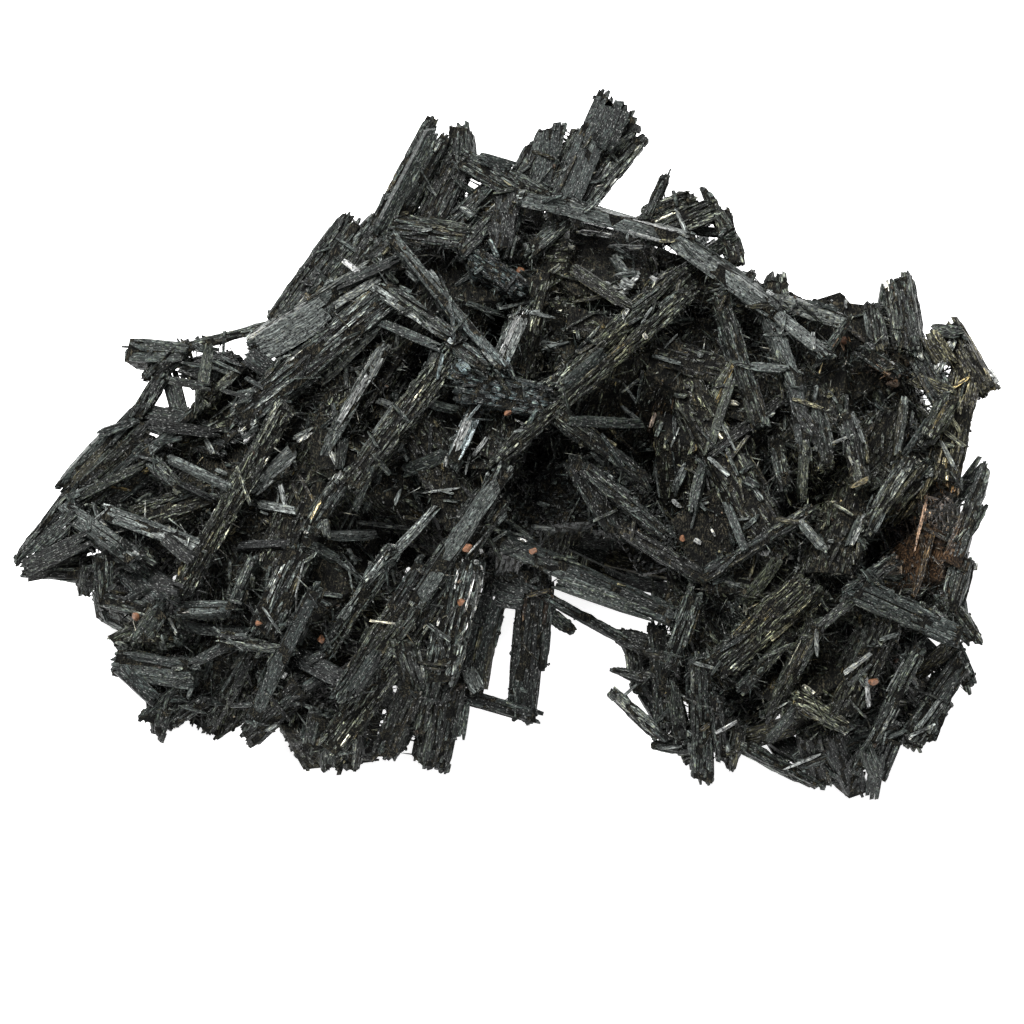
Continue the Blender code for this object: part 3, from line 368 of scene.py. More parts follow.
GROUPS = (
    LEFT_EDGE, UPPER_LEFT, LOWER_LEFT, BACK_LEFT, BRIGHT_LATHS,
    FAN, TOP, CREST, CENTRE_RIGHT, RIGHT_EDGE,
)

# Small crystals that lie on the others, as (across, up, across, up, width, finish) from end to end.
# Those in the glint finish are painted highlights; the pale and bright ones are partly painted highlight.
SMALL_LATHS = (
    (-49.2, -12.1, -45.0, -15.9, 2.2, "ridged"), (-43.4, -11.2, -40.0, -14.0, 1.5, "ridged--"),
    (-45.9, -1.9, -55.4, -6.6, 1.1, "grey--"), (-42.8, -1.2, -35.1, -4.9, 1.0, "pale--"),
    (-40.2, 11.0, -41.8, 13.9, 1.0, "grey"), (-37.8, 13.4, -39.2, 4.6, 1.2, "grey-"),
    (-43.2, 8.6, -37.6, 7.6, 1.0, "dark"), (-45.6, 3.0, -36.0, 1.8, 1.2, "dark---"),
    (-41.2, -22.5, -33.0, -23.0, 1.2, "pale"), (-40.2, -27.1, -31.8, -22.5, 1.2, "grey"),
    (-42.2, -31.2, -34.4, -31.8, 1.0, "dark"), (-37.1, -31.0, -37.6, -34.6, 1.3, "grey-"),
    (-22.6, -27.8, -28.8, -31.9, 1.2, "grey-"), (-22.0, 20.2, -13.8, 23.8, 1.2, "grey---"),
    (-27.3, -0.4, -32.4, -5.4, 1.7, "pale"), (-23.0, -11.0, -16.6, -10.8, 1.2, "pale"),
    (-13.7, -3.0, -8.2, -0.8, 1.5, "grey+"), (-34.4, -12.2, -27.8, -11.9, 1.0, "dark-"),
    (-18.2, -16.8, -9.2, -7.2, 1.2, "bright-"), (-16.3, 15.7, -8.8, 12.4, 1.1, "grey"),
    (-1.0, 13.8, 5.8, 12.6, 1.0, "pale"), (28.2, 26.6, 21.8, 22.6, 1.8, "ridged-"),
    (12.6, 24.0, 14.4, 21.8, 1.0, "pale"), (11.0, 20.6, 14.6, 19.0, 1.1, "pale++"),
    (7.4, 22.6, 15.0, 17.4, 1.5, "green--"), (7.0, 7.8, 11.6, 11.8, 1.6, "grey+"),
    (22.6, 14.7, 16.5, 5.8, 1.3, "green+"), (27.4, 10.8, 22.2, -0.6, 1.3, "bright"),
    (27.7, 9.4, 24.2, -1.3, 1.1, "pale---"), (29.4, 10.2, 34.6, 9.8, 1.0, "pale--"),
    (7.0, 3.3, 16.4, 3.0, 1.0, "grey"), (36.4, 8.4, 24.6, -0.8, 1.3, "green--"),
    (23.7, -2.2, 22.3, -8.0, 1.3, "grey---"), (21.6, -2.3, 20.1, -5.8, 1.0, "pale+"),
    (26.7, -6.9, 28.9, -12.6, 1.0, "pale--"), (36.3, 0.4, 36.0, -6.9, 1.3, "grey++"),
    (49.0, 6.4, 47.9, -1.2, 1.1, "grey-"), (28.8, -19.6, 32.8, -14.2, 1.5, "grey+"),
    (46.2, -15.4, 35.8, -24.2, 1.2, "green"), (35.7, -9.2, 39.1, -13.1, 1.0, "grey++"),
    (49.8, 9.0, 55.0, 6.6, 1.8, "brown"),
    (-51.8, -4.5, -55.5, -6.1, 0.8, "pale--"), (-52.1, -3.8, -51.8, -5.2, 0.5, "pale"),
    (-41.8, -4.2, -37.1, -6.5, 0.8, "dark--"), (-48.4, -18.8, -45.2, -16.5, 0.5, "dark"),
    (-47.8, -19.0, -44.2, -17.1, 0.5, "grey--"), (-42.1, 8.5, -39.0, 7.9, 0.4, "dark"),
    (-41.8, 9.8, -39.2, 8.8, 0.4, "dark---"), (-37.5, 11.0, -34.0, 9.5, 0.4, "grey--"),
    (-37.9, 10.3, -34.4, 8.9, 0.4, "grey--"), (-37.2, 11.8, -33.7, 10.3, 0.4, "dark"),
    (-41.5, 10.8, -38.2, 10.2, 0.4, "grey"), (-33.2, 8.8, -31.1, 7.5, 0.5, "dark"),
    (-36.2, 7.2, -32.1, 6.2, 0.5, "grey--"), (-34.2, 6.2, -35.2, 3.8, 0.5, "grey-"),
    (-33.6, 1.2, -31.9, 2.8, 1.5, "pale++"), (-32.5, -14.0, -34.2, -18.0, 1.0, "grey"),
    (-41.5, -21.2, -35.9, -21.2, 0.6, "grey+"), (-35.0, -32.1, -26.5, -31.8, 0.5, "dark"),
    (-36.2, -30.2, -33.4, -25.9, 0.35, "pale--"), (-35.2, -30.4, -32.4, -26.3, 0.35, "grey--"),
    (-26.2, -31.8, -23.8, -33.0, 0.4, "grey+"), (-21.1, 23.5, -19.0, 21.9, 0.6, "glint"),
    (-22.1, 17.9, -16.8, 21.2, 1.0, "pale"), (-24.0, 7.9, -15.9, 16.0, 1.0, "pale+"),
    (-27.1, 1.0, -25.1, 2.1, 1.0, "pale"), (-31.9, -6.9, -27.1, -7.8, 1.0, "pale"),
    (-20.9, 1.0, -21.5, -2.5, 1.0, "grey"), (-22.6, -0.5, -21.5, -2.5, 0.5, "pale+"),
    (-23.4, -9.0, -23.0, -10.9, 0.9, "grey+++"), (-17.1, -0.9, -15.2, -3.4, 0.6, "grey"),
    (-25.0, -12.1, -21.5, -14.0, 1.2, "grey++"), (-19.6, -7.8, -17.5, -2.5, 0.8, "grey-"),
    (-18.4, -8.2, -16.3, -2.9, 0.8, "grey"), (-19.6, -9.2, -12.5, -10.0, 0.5, "pale"),
    (-10.5, 5.5, -6.5, 4.6, 0.9, "grey+"), (-16.8, 6.0, -15.0, 5.4, 0.8, "glint"),
    (-16.1, 14.5, -10.2, 12.5, 0.9, "pale++"), (-6.8, 10.9, -5.5, 9.5, 1.2, "pale"),
    (2.2, 16.9, 5.8, 16.2, 0.4, "pale+"), (-16.5, -25.2, -20.2, -30.9, 1.4, "grey--"),
    (-25.2, -26.5, -23.4, -25.5, 0.9, "grey"), (-5.5, -27.5, -4.2, -30.2, 1.8, "pale"),
    (-1.6, -18.5, -3.8, -25.6, 1.2, "dark"), (-6.8, 33.4, -2.5, 30.4, 0.6, "grey-"),
    (20.1, 32.5, 20.6, 30.6, 0.4, "grey"), (12.0, 25.4, 17.2, 25.2, 0.5, "glint"),
    (12.8, 23.9, 14.1, 22.2, 0.8, "pale"), (12.8, 21.5, 15.9, 22.0, 0.6, "glint"),
    (11.2, 20.5, 14.4, 19.1, 0.9, "pale++"), (13.5, 21.0, 15.0, 20.0, 1.2, "pale"),
    (17.0, 21.1, 18.2, 21.0, 0.5, "glint"), (47.0, 8.4, 48.2, 8.1, 0.8, "glint"),
    (49.0, 6.2, 48.0, -0.9, 0.8, "pale"), (55.1, 13.5, 53.1, 9.6, 1.0, "bright"),
    (51.9, -5.4, 50.1, -13.1, 0.35, "pale++"), (48.5, -22.4, 44.1, -32.4, 0.6, "pale+"),
    (35.9, -29.5, 38.1, -31.2, 0.8, "pale++"), (35.0, -32.6, 31.9, -36.6, 1.2, "grey--"),
    (28.9, -19.4, 26.6, -16.0, 0.9, "grey"), (43.6, -8.4, 41.8, -12.2, 1.0, "pale"),
    (30.8, -13.0, 34.8, -13.6, 0.6, "glint"), (35.0, -14.9, 37.4, -16.0, 0.8, "glint"),
    (29.0, -4.0, 30.8, -5.1, 1.0, "bright"), (16.2, 14.2, 16.9, 13.7, 0.5, "glint"),
    (23.1, 11.8, 24.0, 11.3, 0.5, "glint"), (17.4, 21.4, 18.0, 20.9, 0.5, "glint"),
    (7.0, 25.5, 7.8, 25.1, 0.5, "glint"), (20.2, -6.6, 20.9, -7.2, 0.5, "glint"),
    (22.7, -11.4, 23.4, -11.8, 0.5, "glint"), (53.5, -6.9, 54.0, -7.3, 0.4, "glint"),
    (51.8, 1.9, 52.3, 1.4, 0.4, "glint"),
    (-61.2, -15.2, -53.0, -11.2, 2.2, "ridged--"), (-60.6, -15.8, -52.6, -13.8, 1.8, "green"),
    (-2.2, -17.4, 1.6, -18.4, 2.0, "dark-"), (-2.0, -19.0, 1.0, -19.4, 1.4, "dark--"),
    (-2.4, -18.5, -4.1, -30.2, 1.9, "dark+"), (-45.0, -16.6, -41.4, -17.6, 1.6, "dark---"),
    (11.3, 37.8, 13.7, 44.2, 3.2, "grey--"), (-16.6, 26.8, -9.7, 40.0, 1.7, "ridged"),
    (-4.0, 36.4, 0.4, 35.2, 1.5, "grey+"), (46.4, 16.8, 47.1, 21.0, 1.4, "ridged"),
    (51.8, 14.6, 54.8, 10.0, 2.6, "brown-"), (52.0, 14.9, 56.4, 14.4, 1.6, "ridged-"),
    (55.2, -6.8, 58.9, -1.5, 1.8, "ridged+"), (-49.0, -27.4, -44.4, -31.6, 1.8, "dark"),
    (-6.0, -31.6, -6.7, -36.2, 1.6, "ridged-"), (44.2, -37.6, 45.4, -41.0, 1.6, "ridged-"),
    (-39.8, 12.7, -36.8, 12.1, 1.0, "grey--"),
    (-60.9, -13.6, -54.6, -8.2, 1.8, "ridged"), (5.4, -16.6, 17.8, -20.8, 1.6, "grey"),
    (-31.6, 12.2, -23.0, 17.4, 3.6, "smooth"), (-52.2, 1.6, -47.4, 3.4, 1.0, "dark"),
    (-2.8, -17.0, -5.8, -28.0, 1.6, "dark"),
    (46.8, -9.4, 50.8, -3.0, 0.8, "brown+"), (47.9, -9.6, 51.8, -3.8, 0.7, "brown+"),
    (48.9, -8.8, 52.5, -3.6, 0.7, "brown"), (46.9, -7.0, 51.3, -2.0, 0.7, "brown+"),
    (50.0, -18.4, 52.6, -10.4, 0.7, "brown"), (51.8, -17.0, 51.0, -10.6, 0.6, "brown+"),
)

# Laths just under the surface that close gaps in it, in the same way. Most take the dark finish, painted
# shade for the gaps.
UNDER_LATHS = (
    (20.4, -31.4, 22.0, -37.6, 1.7, "dark"),
    (-46.6, -15.0, -40.4, -19.4, 2.4, "dark"), (-27.4, -25.6, -20.2, -29.2, 2.4, "dark-"),
    (-27.4, -28.8, -20.4, -26.0, 2.0, "brown-"), (-16.8, -28.8, -14.0, -34.2, 1.6, "dark"),
    (28.8, -33.0, 36.6, -38.6, 2.6, "dark"), (28.6, -36.6, 36.4, -34.0, 2.4, "brown-"),
    (30.2, -32.6, 34.8, -40.0, 1.8, "dark"), (50.0, -23.6, 55.2, -28.6, 2.4, "dark"),
    (50.0, -28.6, 55.2, -24.0, 2.0, "brown-"), (-43.2, 10.0, -41.0, 2.0, 2.2, "dark"),
    (-46.6, 4.6, -40.6, 3.6, 2.0, "dark"), (-47.6, 3.6, -42.0, 1.8, 1.6, "dark+"),
    (-33.2, 11.8, -28.6, 8.6, 2.4, "dark"), (14.8, -24.0, 18.8, -31.8, 2.6, "dark"),
    (14.0, -23.2, 19.4, -25.8, 2.2, "brown-"), (15.4, -27.6, 20.0, -29.8, 2.2, "dark"),
    (16.6, -30.4, 19.8, -35.6, 2.0, "dark"), (-48.8, -15.2, -44.2, -19.6, 2.4, "dark"),
    (-41.0, -14.6, -37.8, -18.2, 1.8, "dark"), (-54.8, -5.4, -52.4, -13.2, 2.4, "dark"),
    (8.6, 28.0, 15.0, 26.4, 1.2, "dark"), (22.2, 27.4, 26.6, 27.0, 1.0, "dark"),
)

# Laths low in the mass that close it behind the notch, left of it and below the right end of the cluster, as
# the (across, up, height) of both ends, width and finish.
# Most of them are dark: painted shade for the hollows they fill.
DEEP_LATHS = (
    ((6.5, -15.6, 0.8), (13.5, -18.6, 0.8), 2.0, "dark"),
    ((7.0, -13.8, 3.0), (14.0, -17.0, 3.0), 2.4, "brown"),
    ((12.5, -15.8, 3.4), (20.0, -17.4, 3.0), 2.4, "dark"),
    ((7.5, -11.5, 6.0), (14.5, -14.8, 5.0), 2.4, "dark"),
    ((12.0, -13.6, 6.0), (20.0, -15.2, 5.0), 2.4, "brown"),
    ((9.0, -16.8, 1.0), (10.5, -10.5, 7.0), 1.6, "green"),
    ((12.8, -18.3, 1.0), (12.0, -11.0, 7.5), 1.5, "dark"),
    ((15.4, -18.8, 1.2), (17.0, -11.5, 7.0), 1.7, "dark"),
    ((18.6, -19.8, 1.0), (17.6, -12.0, 6.5), 1.5, "green"),
    ((6.5, -11.0, 6.5), (20.0, -12.6, 7.0), 2.0, "dark"),
    ((-16.0, -11.0, 9.0), (-9.5, -15.5, 9.0), 2.6, "dark"),
    ((-15.5, -15.0, 7.0), (-9.5, -11.5, 7.0), 2.2, "brown"),
    ((45.6, -38.0, 8.6), (44.9, -43.6, 1.6), 1.8, "ridged-"),
)

# How a crystal's faces look: width, length and rise of the strips they are split in, tone with its spread
# from strip to strip, tint, how ochre and how weathered they are, and the forms the strips take.
Finish = collections.namedtuple("Finish", "widths lengths rises tone spread tint stain wear forms")
FINISH_TABLE = (
    ("ridged", (0.26, 0.52), (2.5, 9.0), (0.0, 0.28), 0.42, 0.15, "grey", 0.15, 0.80, "ridge splint split"),
    ("grey", (0.32, 0.70), (2.5, 9.0), (0.02, 0.20), 0.50, 0.13, "grey", 0.10, 0.52, "ridge plank splint"),
    ("green", (0.20, 0.42), (1.6, 6.0), (0.0, 0.32), 0.44, 0.18, "green", 0.20, 0.95, "splint sliver ridge"),
    ("fibrous", (0.18, 0.36), (1.5, 6.0), (0.0, 0.40), 0.44, 0.20, "green", 0.24, 1.0, "splint sliver ridge"),
    ("flat", (0.60, 1.30), (4.0, 13.0), (0.02, 0.14), 0.55, 0.08, "grey", 0.04, 0.40, "plank split"),
    ("smooth", (0.90, 2.00), (5.0, 15.0), (0.02, 0.10), 0.70, 0.06, "grey", 0.03, 0.30, "plank split"),
    # The pale and bright finishes are partly painted highlight: a lighter base colour stands for light
    # reflected off their faces.
    ("pale", (0.30, 0.80), (4.0, 14.0), (0.02, 0.16), 0.78, 0.11, "grey", 0.02, 0.45, "plank split ridge"),
    ("streaked", (0.22, 0.50), (2.5, 10.0), (0.02, 0.24), 0.52, 0.20, "grey", 0.10, 0.90, "ridge splint"),
    ("bright", (0.22, 0.45), (2.0, 9.0), (0.02, 0.26), 0.66, 0.18, "grey", 0.08, 0.90, "ridge splint"),
    # The dark finish is painted shade: it goes on laths that lie in shade, in hollows, in the notch and under
    # the mass.
    ("dark", (0.30, 0.65), (2.5, 10.0), (0.02, 0.24), 0.32, 0.09, "grey", 0.06, 0.70, "ridge plank splint"),
    ("brown", (0.24, 0.50), (2.5, 9.0), (0.02, 0.30), 0.44, 0.16, "brown", 0.45, 0.95, "ridge splint"),
    ("blocky", (0.24, 0.50), (0.8, 3.2), (0.0, 0.45), 0.44, 0.12, "blue", 0.06, 0.85, "splint sliver ridge"),
    # The glint finish is a painted highlight: a near-white blade where light flashes off a face.
    ("glint", (0.60, 1.20), (5.0, 15.0), (0.02, 0.12), 0.92, 0.03, "grey", 0.00, 0.15, "plank"),
    ("felted", (0.30, 0.60), (1.0, 5.0), (-0.10, 0.40), 0.34, 0.16, "green", 0.30, 1.0, "sliver splint"),
)
FINISHES = {name: Finish(*look, tuple(forms.split())) for name, *look, forms in FINISH_TABLE}
# How far a strip leans out of its face, in degrees, for the finishes that aren't even.
ROLL = {"smooth": 3.0, "flat": 5.0, "pale": 5.0, "glint": 3.0}
ROLL_ELSE = 9.0
SIDE_FINISHES = ("ridged", "ridged", "grey", "flat", "fibrous", "green", "brown", "dark")

# Patches of stain on the blades, as (across, up, reach, tint, strength).
PATCHES = (
    (48.8, -5.8, 3.4, "ochre", 0.95), (53.6, -7.4, 3.4, "rust", 0.95), (51.2, -12.6, 5.8, "rust", 0.95),
    (41.6, 13.5, 2.2, "rust", 0.5),
    (44.5, 9.1, 2.4, "rust", 0.55), (47.2, 9.4, 3.6, "rust", 0.5), (17.9, 4.8, 3.2, "rust", 0.45),
    (3.1, -18.4, 2.4, "rust", 0.45), (8.5, 22.0, 5.5, "ochre", 0.5), (14.0, 12.0, 5.0, "ochre", 0.35),
    (40.0, -4.0, 7.0, "ochre", 0.35), (33.0, -20.0, 7.0, "ochre", 0.45), (54.6, 3.0, 4.5, "ochre", 0.5),
    (-24.5, -2.0, 4.0, "ochre", 0.3), (-16.0, -22.0, 5.0, "ochre", 0.3), (-39.0, 6.0, 5.0, "ochre", 0.3),
    (37.0, -30.0, 7.0, "ochre", 0.3), (-6.0, 13.0, 5.0, "blue", 0.6), (-2.0, 6.8, 6.0, "blue", 0.7),
    (-3.0, 23.0, 4.5, "blue", 0.7), (-50.0, -3.0, 4.0, "ochre", 0.25), (-45.0, -23.0, 4.0, "ochre", 0.2),
    (26.0, 6.0, 6.0, "ochre", 0.3),
)
# The hollow whose felt is rusty, as (across, up, lift, reach).
RUST_HOLLOW = (50.6, -12.6, -2.0, 9.5)
# The greys that a tone from 0 to 1 runs through, and the tints, each with its full strength.
TONES = ("#0d0f0e", "#111313", "#161918", "#1e2322", "#2c312f", "#414644", "#5f6361", "#9a9b9a")
TINTS = {
    "grey": ("#808684", 0.0),
    "green": ("#727870", 0.25),
    "brown": ("#80766a", 0.50),
    "blue": ("#627b82", 0.42),
    "ochre": ("#8f8058", 0.70),
    "rust": ("#86664a", 0.80),
}

# Forms of a blade in a unit box, as sections across it: (place along, slip, rise, width, height).
FORMS = {
    "plank": ((-0.5, 0.0, -0.10, 0.84, 0.84), (-0.30, 0.03, 0.0, 1.0, 1.0), (0.22, -0.02, 0.0, 0.96, 1.0),
              (0.5, 0.02, -0.12, 0.76, 0.80)),
    "split": ((-0.5, 0.06, -0.22, 0.56, 0.66), (-0.28, 0.0, 0.0, 1.0, 1.0), (0.30, 0.0, 0.0, 1.0, 1.0),
              (0.34, 0.14, -0.04, 0.66, 0.92), (0.5, 0.20, -0.16, 0.40, 0.72)),
    "ridge": ((-0.5, 0.0, -0.30, 0.42, 0.52), (-0.28, 0.06, 0.0, 1.0, 0.96), (0.20, -0.05, -0.02, 0.88, 1.0),
              (0.5, 0.02, -0.36, 0.32, 0.44)),
    "splint": ((-0.5, 0.05, -0.32, 0.40, 0.50), (0.05, -0.02, 0.0, 1.0, 1.0),
               (0.5, -0.03, -0.38, 0.26, 0.40)),
    "sliver": ((-0.5, 0.03, -0.02, 0.92, 0.94), (0.5, -0.06, -0.36, 0.22, 0.42)),
    "chip": ((-0.5, -0.04, -0.05, 0.84, 0.86), (0.5, 0.06, 0.0, 0.94, 1.0)),
    "stub": ((-0.5, 0.0, 0.0, 1.0, 1.0), (0.5, 0.05, -0.04, 0.80, 0.74)),
}
# How far the corners of a form's ends lean along it, for their ragged look.
END_SKEW = {"plank": 0.03, "split": 0.05, "ridge": 0.04, "splint": 0.03, "sliver": 0.03, "chip": 0.16,
            "stub": 0.22}
LATH_FORMS = ("plank", "plank", "split", "ridge")
SAME_PLACE = 1e-4
NEEDLE_FOOT = 0.55

# The strips of a face: how deep they are set in it and how far they run past its ends, how much of a lane
# each one covers and how unevenly the lanes are split, how they overlap, and how far they sway.
SUNK = 0.35
OVERRUN = (-0.8, 0.5)
LANE_COVER = 1.06
EDGE_PLAY = 0.10
STRIP_LAP = (-0.12, 0.3)
STRIP_LEAST = 1.0
STRIP_WIDTH = (0.8, 1.1)
STRIP_SWAY = 0.02
# Shares of the finish's spread of tone from lane to lane and from strip to strip, and the crystals' own.
LANE_SPREAD = 0.6
STRIP_SPREAD = 0.8
CRYSTAL_SPREAD = 0.035
# Where a strip is probed for being buried or out of sight, and what is left bare under the cluster.
PROBE_SHARES = (0.2, 0.5, 0.8)
PROBE_OUT = 0.08
BELOW_FLOOR = -1.0
UNDERSIDE_FROM = -0.7
UNDERSIDE_CLEAR = 0.6

# The stubs on a broken end: their spacing, how far most of them stand out and how far the long ones do, how
# close to the rim and how deep they are rooted, how they lean, and how much darker than the faces they are.
END_PITCH = (0.42, 0.62)
END_PROUD = (-0.1, 0.5)
END_LONG = (0.5, 1.2)
END_SHORT_SHARE = 0.8
END_MARGIN = 1.04
END_ROOT = 0.6
END_PLAY = 0.25
END_LEAN = 0.08
END_WIDTH = (0.9, 1.5)
END_THICKNESS = (0.5, 1.1)
END_DARKER = 0.06
END_SPREAD = 0.04
END_WEAR = 0.8

# What each + or - after a finish adds to its tone or takes from it. The marks were set lath by lath to how
# bright each lath looks, so they partly paint the light and shade that fall on it.
TONE_STEP = 0.07

# Tone and stain drift over the cluster in patches of these sizes, by these amounts. Then come the share of
# blades that turn ochre and how strongly, and the shares of a blade's tint and of a patch's tint.
TONE_PATCH = 7.0
TONE_DRIFT = 0.10
TONE_SPOT = 2.5
TONE_FLECK = 0.05
STAIN_PATCH = 4.5
STAIN_DRIFT = 0.20
STAIN_OFFSET = Vector((9, 3, 5))
OCHRE_SHARE = 0.12
OCHRE_STRENGTH = (0.3, 0.8)
TINT_SHARE = (0.6, 1.0)
PATCH_SHARE = (0.4, 1.0)

# The parts of the cluster that its splinters are gathered in.
BEHIND_FROM = 2.0
SIDES_FROM = 18.0
REGIONS = ("left", "centre", "right", "behind")

# One seed for each thing that is drawn at random.
NOTCH_SEED = 2
BED_SEED = 3
SIDE_SEED = 4
PRISM_SEED = 5
SPLINTER_SEED = 11
SMALL_SEED = 12
NEEDLE_SEED = 13
GRAIN_SEED = 14
END_MAP_SEED = 9
SMALL_SPOTS_SEED = 21
NEEDLE_SPOTS_SEED = 22
CRUMB_SPOTS_SEED = 23
NEEDLE_MAP_SEED = 30
CRUMB_MAP_SEED = 34

# Directions from which a splinter might be seen, and a reach past the whole cluster.
SEE_FAR = 200.0
SKY = tuple(
    Vector(way).normalized()
    for way in ((0, -0.57, 0.82), (0, 0, 1), (1, 0, 0.5), (-1, 0, 0.5), (0, 1, 0.5), (0, -1, 0.15),
                (0.8, -0.8, 0.2), (-0.8, -0.8, 0.2), (0.8, 0.8, 0.2), (-0.8, 0.8, 0.2))
)


def linear(colour):
    """The linear red, green and blue of an sRGB hex colour."""
    values = [int(colour[i:i + 2], 16) / 255 for i in (1, 3, 5)]
    return [v / 12.92 if v <= 0.04045 else ((v + 0.055) / 1.055) ** 2.4 for v in values]


def mound_height(across, up):
    """Height of the mound by straight interpolation in the net."""
    step_across = MOUND_ACROSS[1] - MOUND_ACROSS[0]
    step_up = MOUND_UP[1] - MOUND_UP[0]
    column = min(max((across - MOUND_ACROSS[0]) / step_across, 0.0), len(MOUND_ACROSS) - 1.001)
    row = min(max((up - MOUND_UP[0]) / step_up, 0.0), len(MOUND_UP) - 1.001)
    left, low = int(column), int(row)
    fx, fy = column - left, row - low
    lower = MOUND_HEIGHT[low][left] * (1 - fx) + MOUND_HEIGHT[low][left + 1] * fx
    upper = MOUND_HEIGHT[low + 1][left] * (1 - fx) + MOUND_HEIGHT[low + 1][left + 1] * fx
    return lower * (1 - fy) + upper * fy


def place(end):
    """The point in space of an (across, up, lift) end."""
    across, up, lift = end
    return at_height(across, up, mound_height(across, up) + lift * LIFT_SHARE)


def at_height(across, up, height):
    """The point in space of a place on the cluster at a given height."""
    return Vector((across, (up - height * VIEW_COS) / VIEW_SIN, height))


def edge_distance(x, y, edges=range(len(PLAN))):
    """How far inside the plan a point is from the given edges; negative outside the plan."""
    nearest = 1e9
    inside = False
    for index, (x1, y1) in enumerate(PLAN):
        x2, y2 = PLAN[(index + 1) % len(PLAN)]
        if (y1 > y) != (y2 > y) and x < x1 + (y - y1) / (y2 - y1) * (x2 - x1):
            inside = not inside
        if index in edges:
            share = ((x - x1) * (x2 - x1) + (y - y1) * (y2 - y1)) / ((x2 - x1) ** 2 + (y2 - y1) ** 2)
            share = min(max(share, 0.0), 1.0)
            nearest = min(nearest, math.hypot(x1 + share * (x2 - x1) - x, y1 + share * (y2 - y1) - y))
    return nearest if inside else -nearest


def mass_height(x, y):
    """Height of the mass at a point of the plan: the mound, rounded down to the ground at its sides."""
    height = FIRST_HEIGHT
    for _ in range(HEIGHT_ROUNDS):
        height = mound_height(x, y * VIEW_SIN + height * VIEW_COS)
    for edges, reach in ((range(len(PLAN)), SIDE_REACH), (range(BACK_TO), BACK_REACH)):
        inside = min(max(edge_distance(x, y, edges) / reach, 0.0), 1.0)
        height = min(height, SIDE_TOP * math.sqrt(1 - (1 - inside) ** 2))
    return height


def mass_normal(x, y):
    """The way that the mass faces at a point of the plan."""
    step = 1.0
    slope_x = (mass_height(x + step, y) - mass_height(x - step, y)) / (2 * step)
    slope_y = (mass_height(x, y + step) - mass_height(x, y - step)) / (2 * step)
    return Vector((-slope_x, -slope_y, 1.0)).normalized()


def lath_rings(start, end, width, tip, facing, rng):
    """The two end outlines of a lath whose broad face lies along start-end and looks to facing."""
    axis = (end - start).normalized()
    facing = (facing - axis * facing.dot(axis)).normalized()
    swing = math.radians(rng.uniform(-FACING_SWING, FACING_SWING))
    facing = Matrix.Rotation(swing, 3, axis) @ facing
    side = axis.cross(facing)
    depth = DEPTH_SHARE * width + DEPTH_MORE
    section = SIX_SIDED if width >= SIX_SIDED_FROM else FOUR_SIDED
    rings = []
    for centre, share, out in ((start, START_SHARE, -1), (end, tip, 1)):
        slant = rng.uniform(-END_SLANT, END_SLANT)
        dip = rng.uniform(0.0, END_DIP)
        ring = []
        for a, b in section:
            along = out * (slant * a + dip * (b - 0.5)) * width
            point = centre + side * (a * width * share) + facing * ((b * share - 0.5) * depth)
            ring.append(point + axis * along)
        rings.append(ring)
    return rings


def table_crystals():
    """The laths of the tables, each as (its end outlines, its finish)."""
    for group in GROUPS:
        for start, end, width, tip, finish in group:
            rng = random.Random(str(start))
            yield lath_rings(place(start), place(end), width, tip, TO_VIEWER, rng), finish


def plan_points(step, inset, rng):
    """Points spread over the plan in staggered rows, each at least inset from its edge."""
    row = 0
    y = SPREAD_FROM[1]
    while y < SPREAD_TO[1]:
        x = SPREAD_FROM[0] + (row % 2) * step / 2
        while x < SPREAD_TO[0]:
            near_x = x + rng.uniform(-POINT_PLAY, POINT_PLAY) * step
            near_y = y + rng.uniform(-POINT_PLAY, POINT_PLAY) * step
            if edge_distance(near_x, near_y) > inset:
                yield near_x, near_y
            x += step
        y += step * ROW_SHARE
        row += 1


def stout_prisms(rng):
    """Stout five-sided prisms deep in the mass, leaning every way; some of them reach the ground."""
    for x, y in plan_points(PRISM_STEP, PRISM_INSET, rng):
        direction = rng.uniform(0, 2 * math.pi)
        reach = rng.uniform(*PRISM_LEAN)
        lean = Vector((math.cos(direction), math.sin(direction))) * reach
        while min(edge_distance(x + way * lean.x, y + way * lean.y) for way in (-1, 1)) < PRISM_END_INSET:
            lean *= DRAW_IN
        foot = -1.0 if rng.random() < PRISM_GROUNDED else rng.uniform(*PRISM_FOOT)
        top = max(mass_height(x + lean.x, y + lean.y) - PRISM_COVER, foot + PRISM_LEAST)
        turn = rng.uniform(0, 2 * math.pi)
        tilt_x = rng.uniform(-PRISM_TOP_SLOPE, PRISM_TOP_SLOPE)
        tilt_y = rng.uniform(-PRISM_TOP_SLOPE, PRISM_TOP_SLOPE)
        rings = []
        for height, way in ((foot, -1), (top, 1)):
            centre_x, centre_y = x + way * lean.x, y + way * lean.y
            radius = min(PRISM_RADIUS, edge_distance(centre_x, centre_y) - PRISM_EDGE)
            ring = []
            for i in range(PRISM_SIDES):
                angle = turn + i * 2 * math.pi / PRISM_SIDES
                out_x, out_y = radius * math.cos(angle), radius * math.sin(angle)
                rise = (tilt_x * out_x + tilt_y * out_y) if way > 0 else 0.0
                ring.append(Vector((centre_x + out_x, centre_y + out_y, height + rise)))
            rings.append(ring)
        yield rings, "felted"


def notch_wall(rng):
    """Broad upright laths that close the mass behind the notch, in the dark finish as painted shade for the
    notch's cave.
    """
    for start, end, width in NOTCH_WALL:
        yield lath_rings(Vector(start), Vector(end), width, NOTCH_TIP, Vector((0, -1, 0)), rng), "dark"


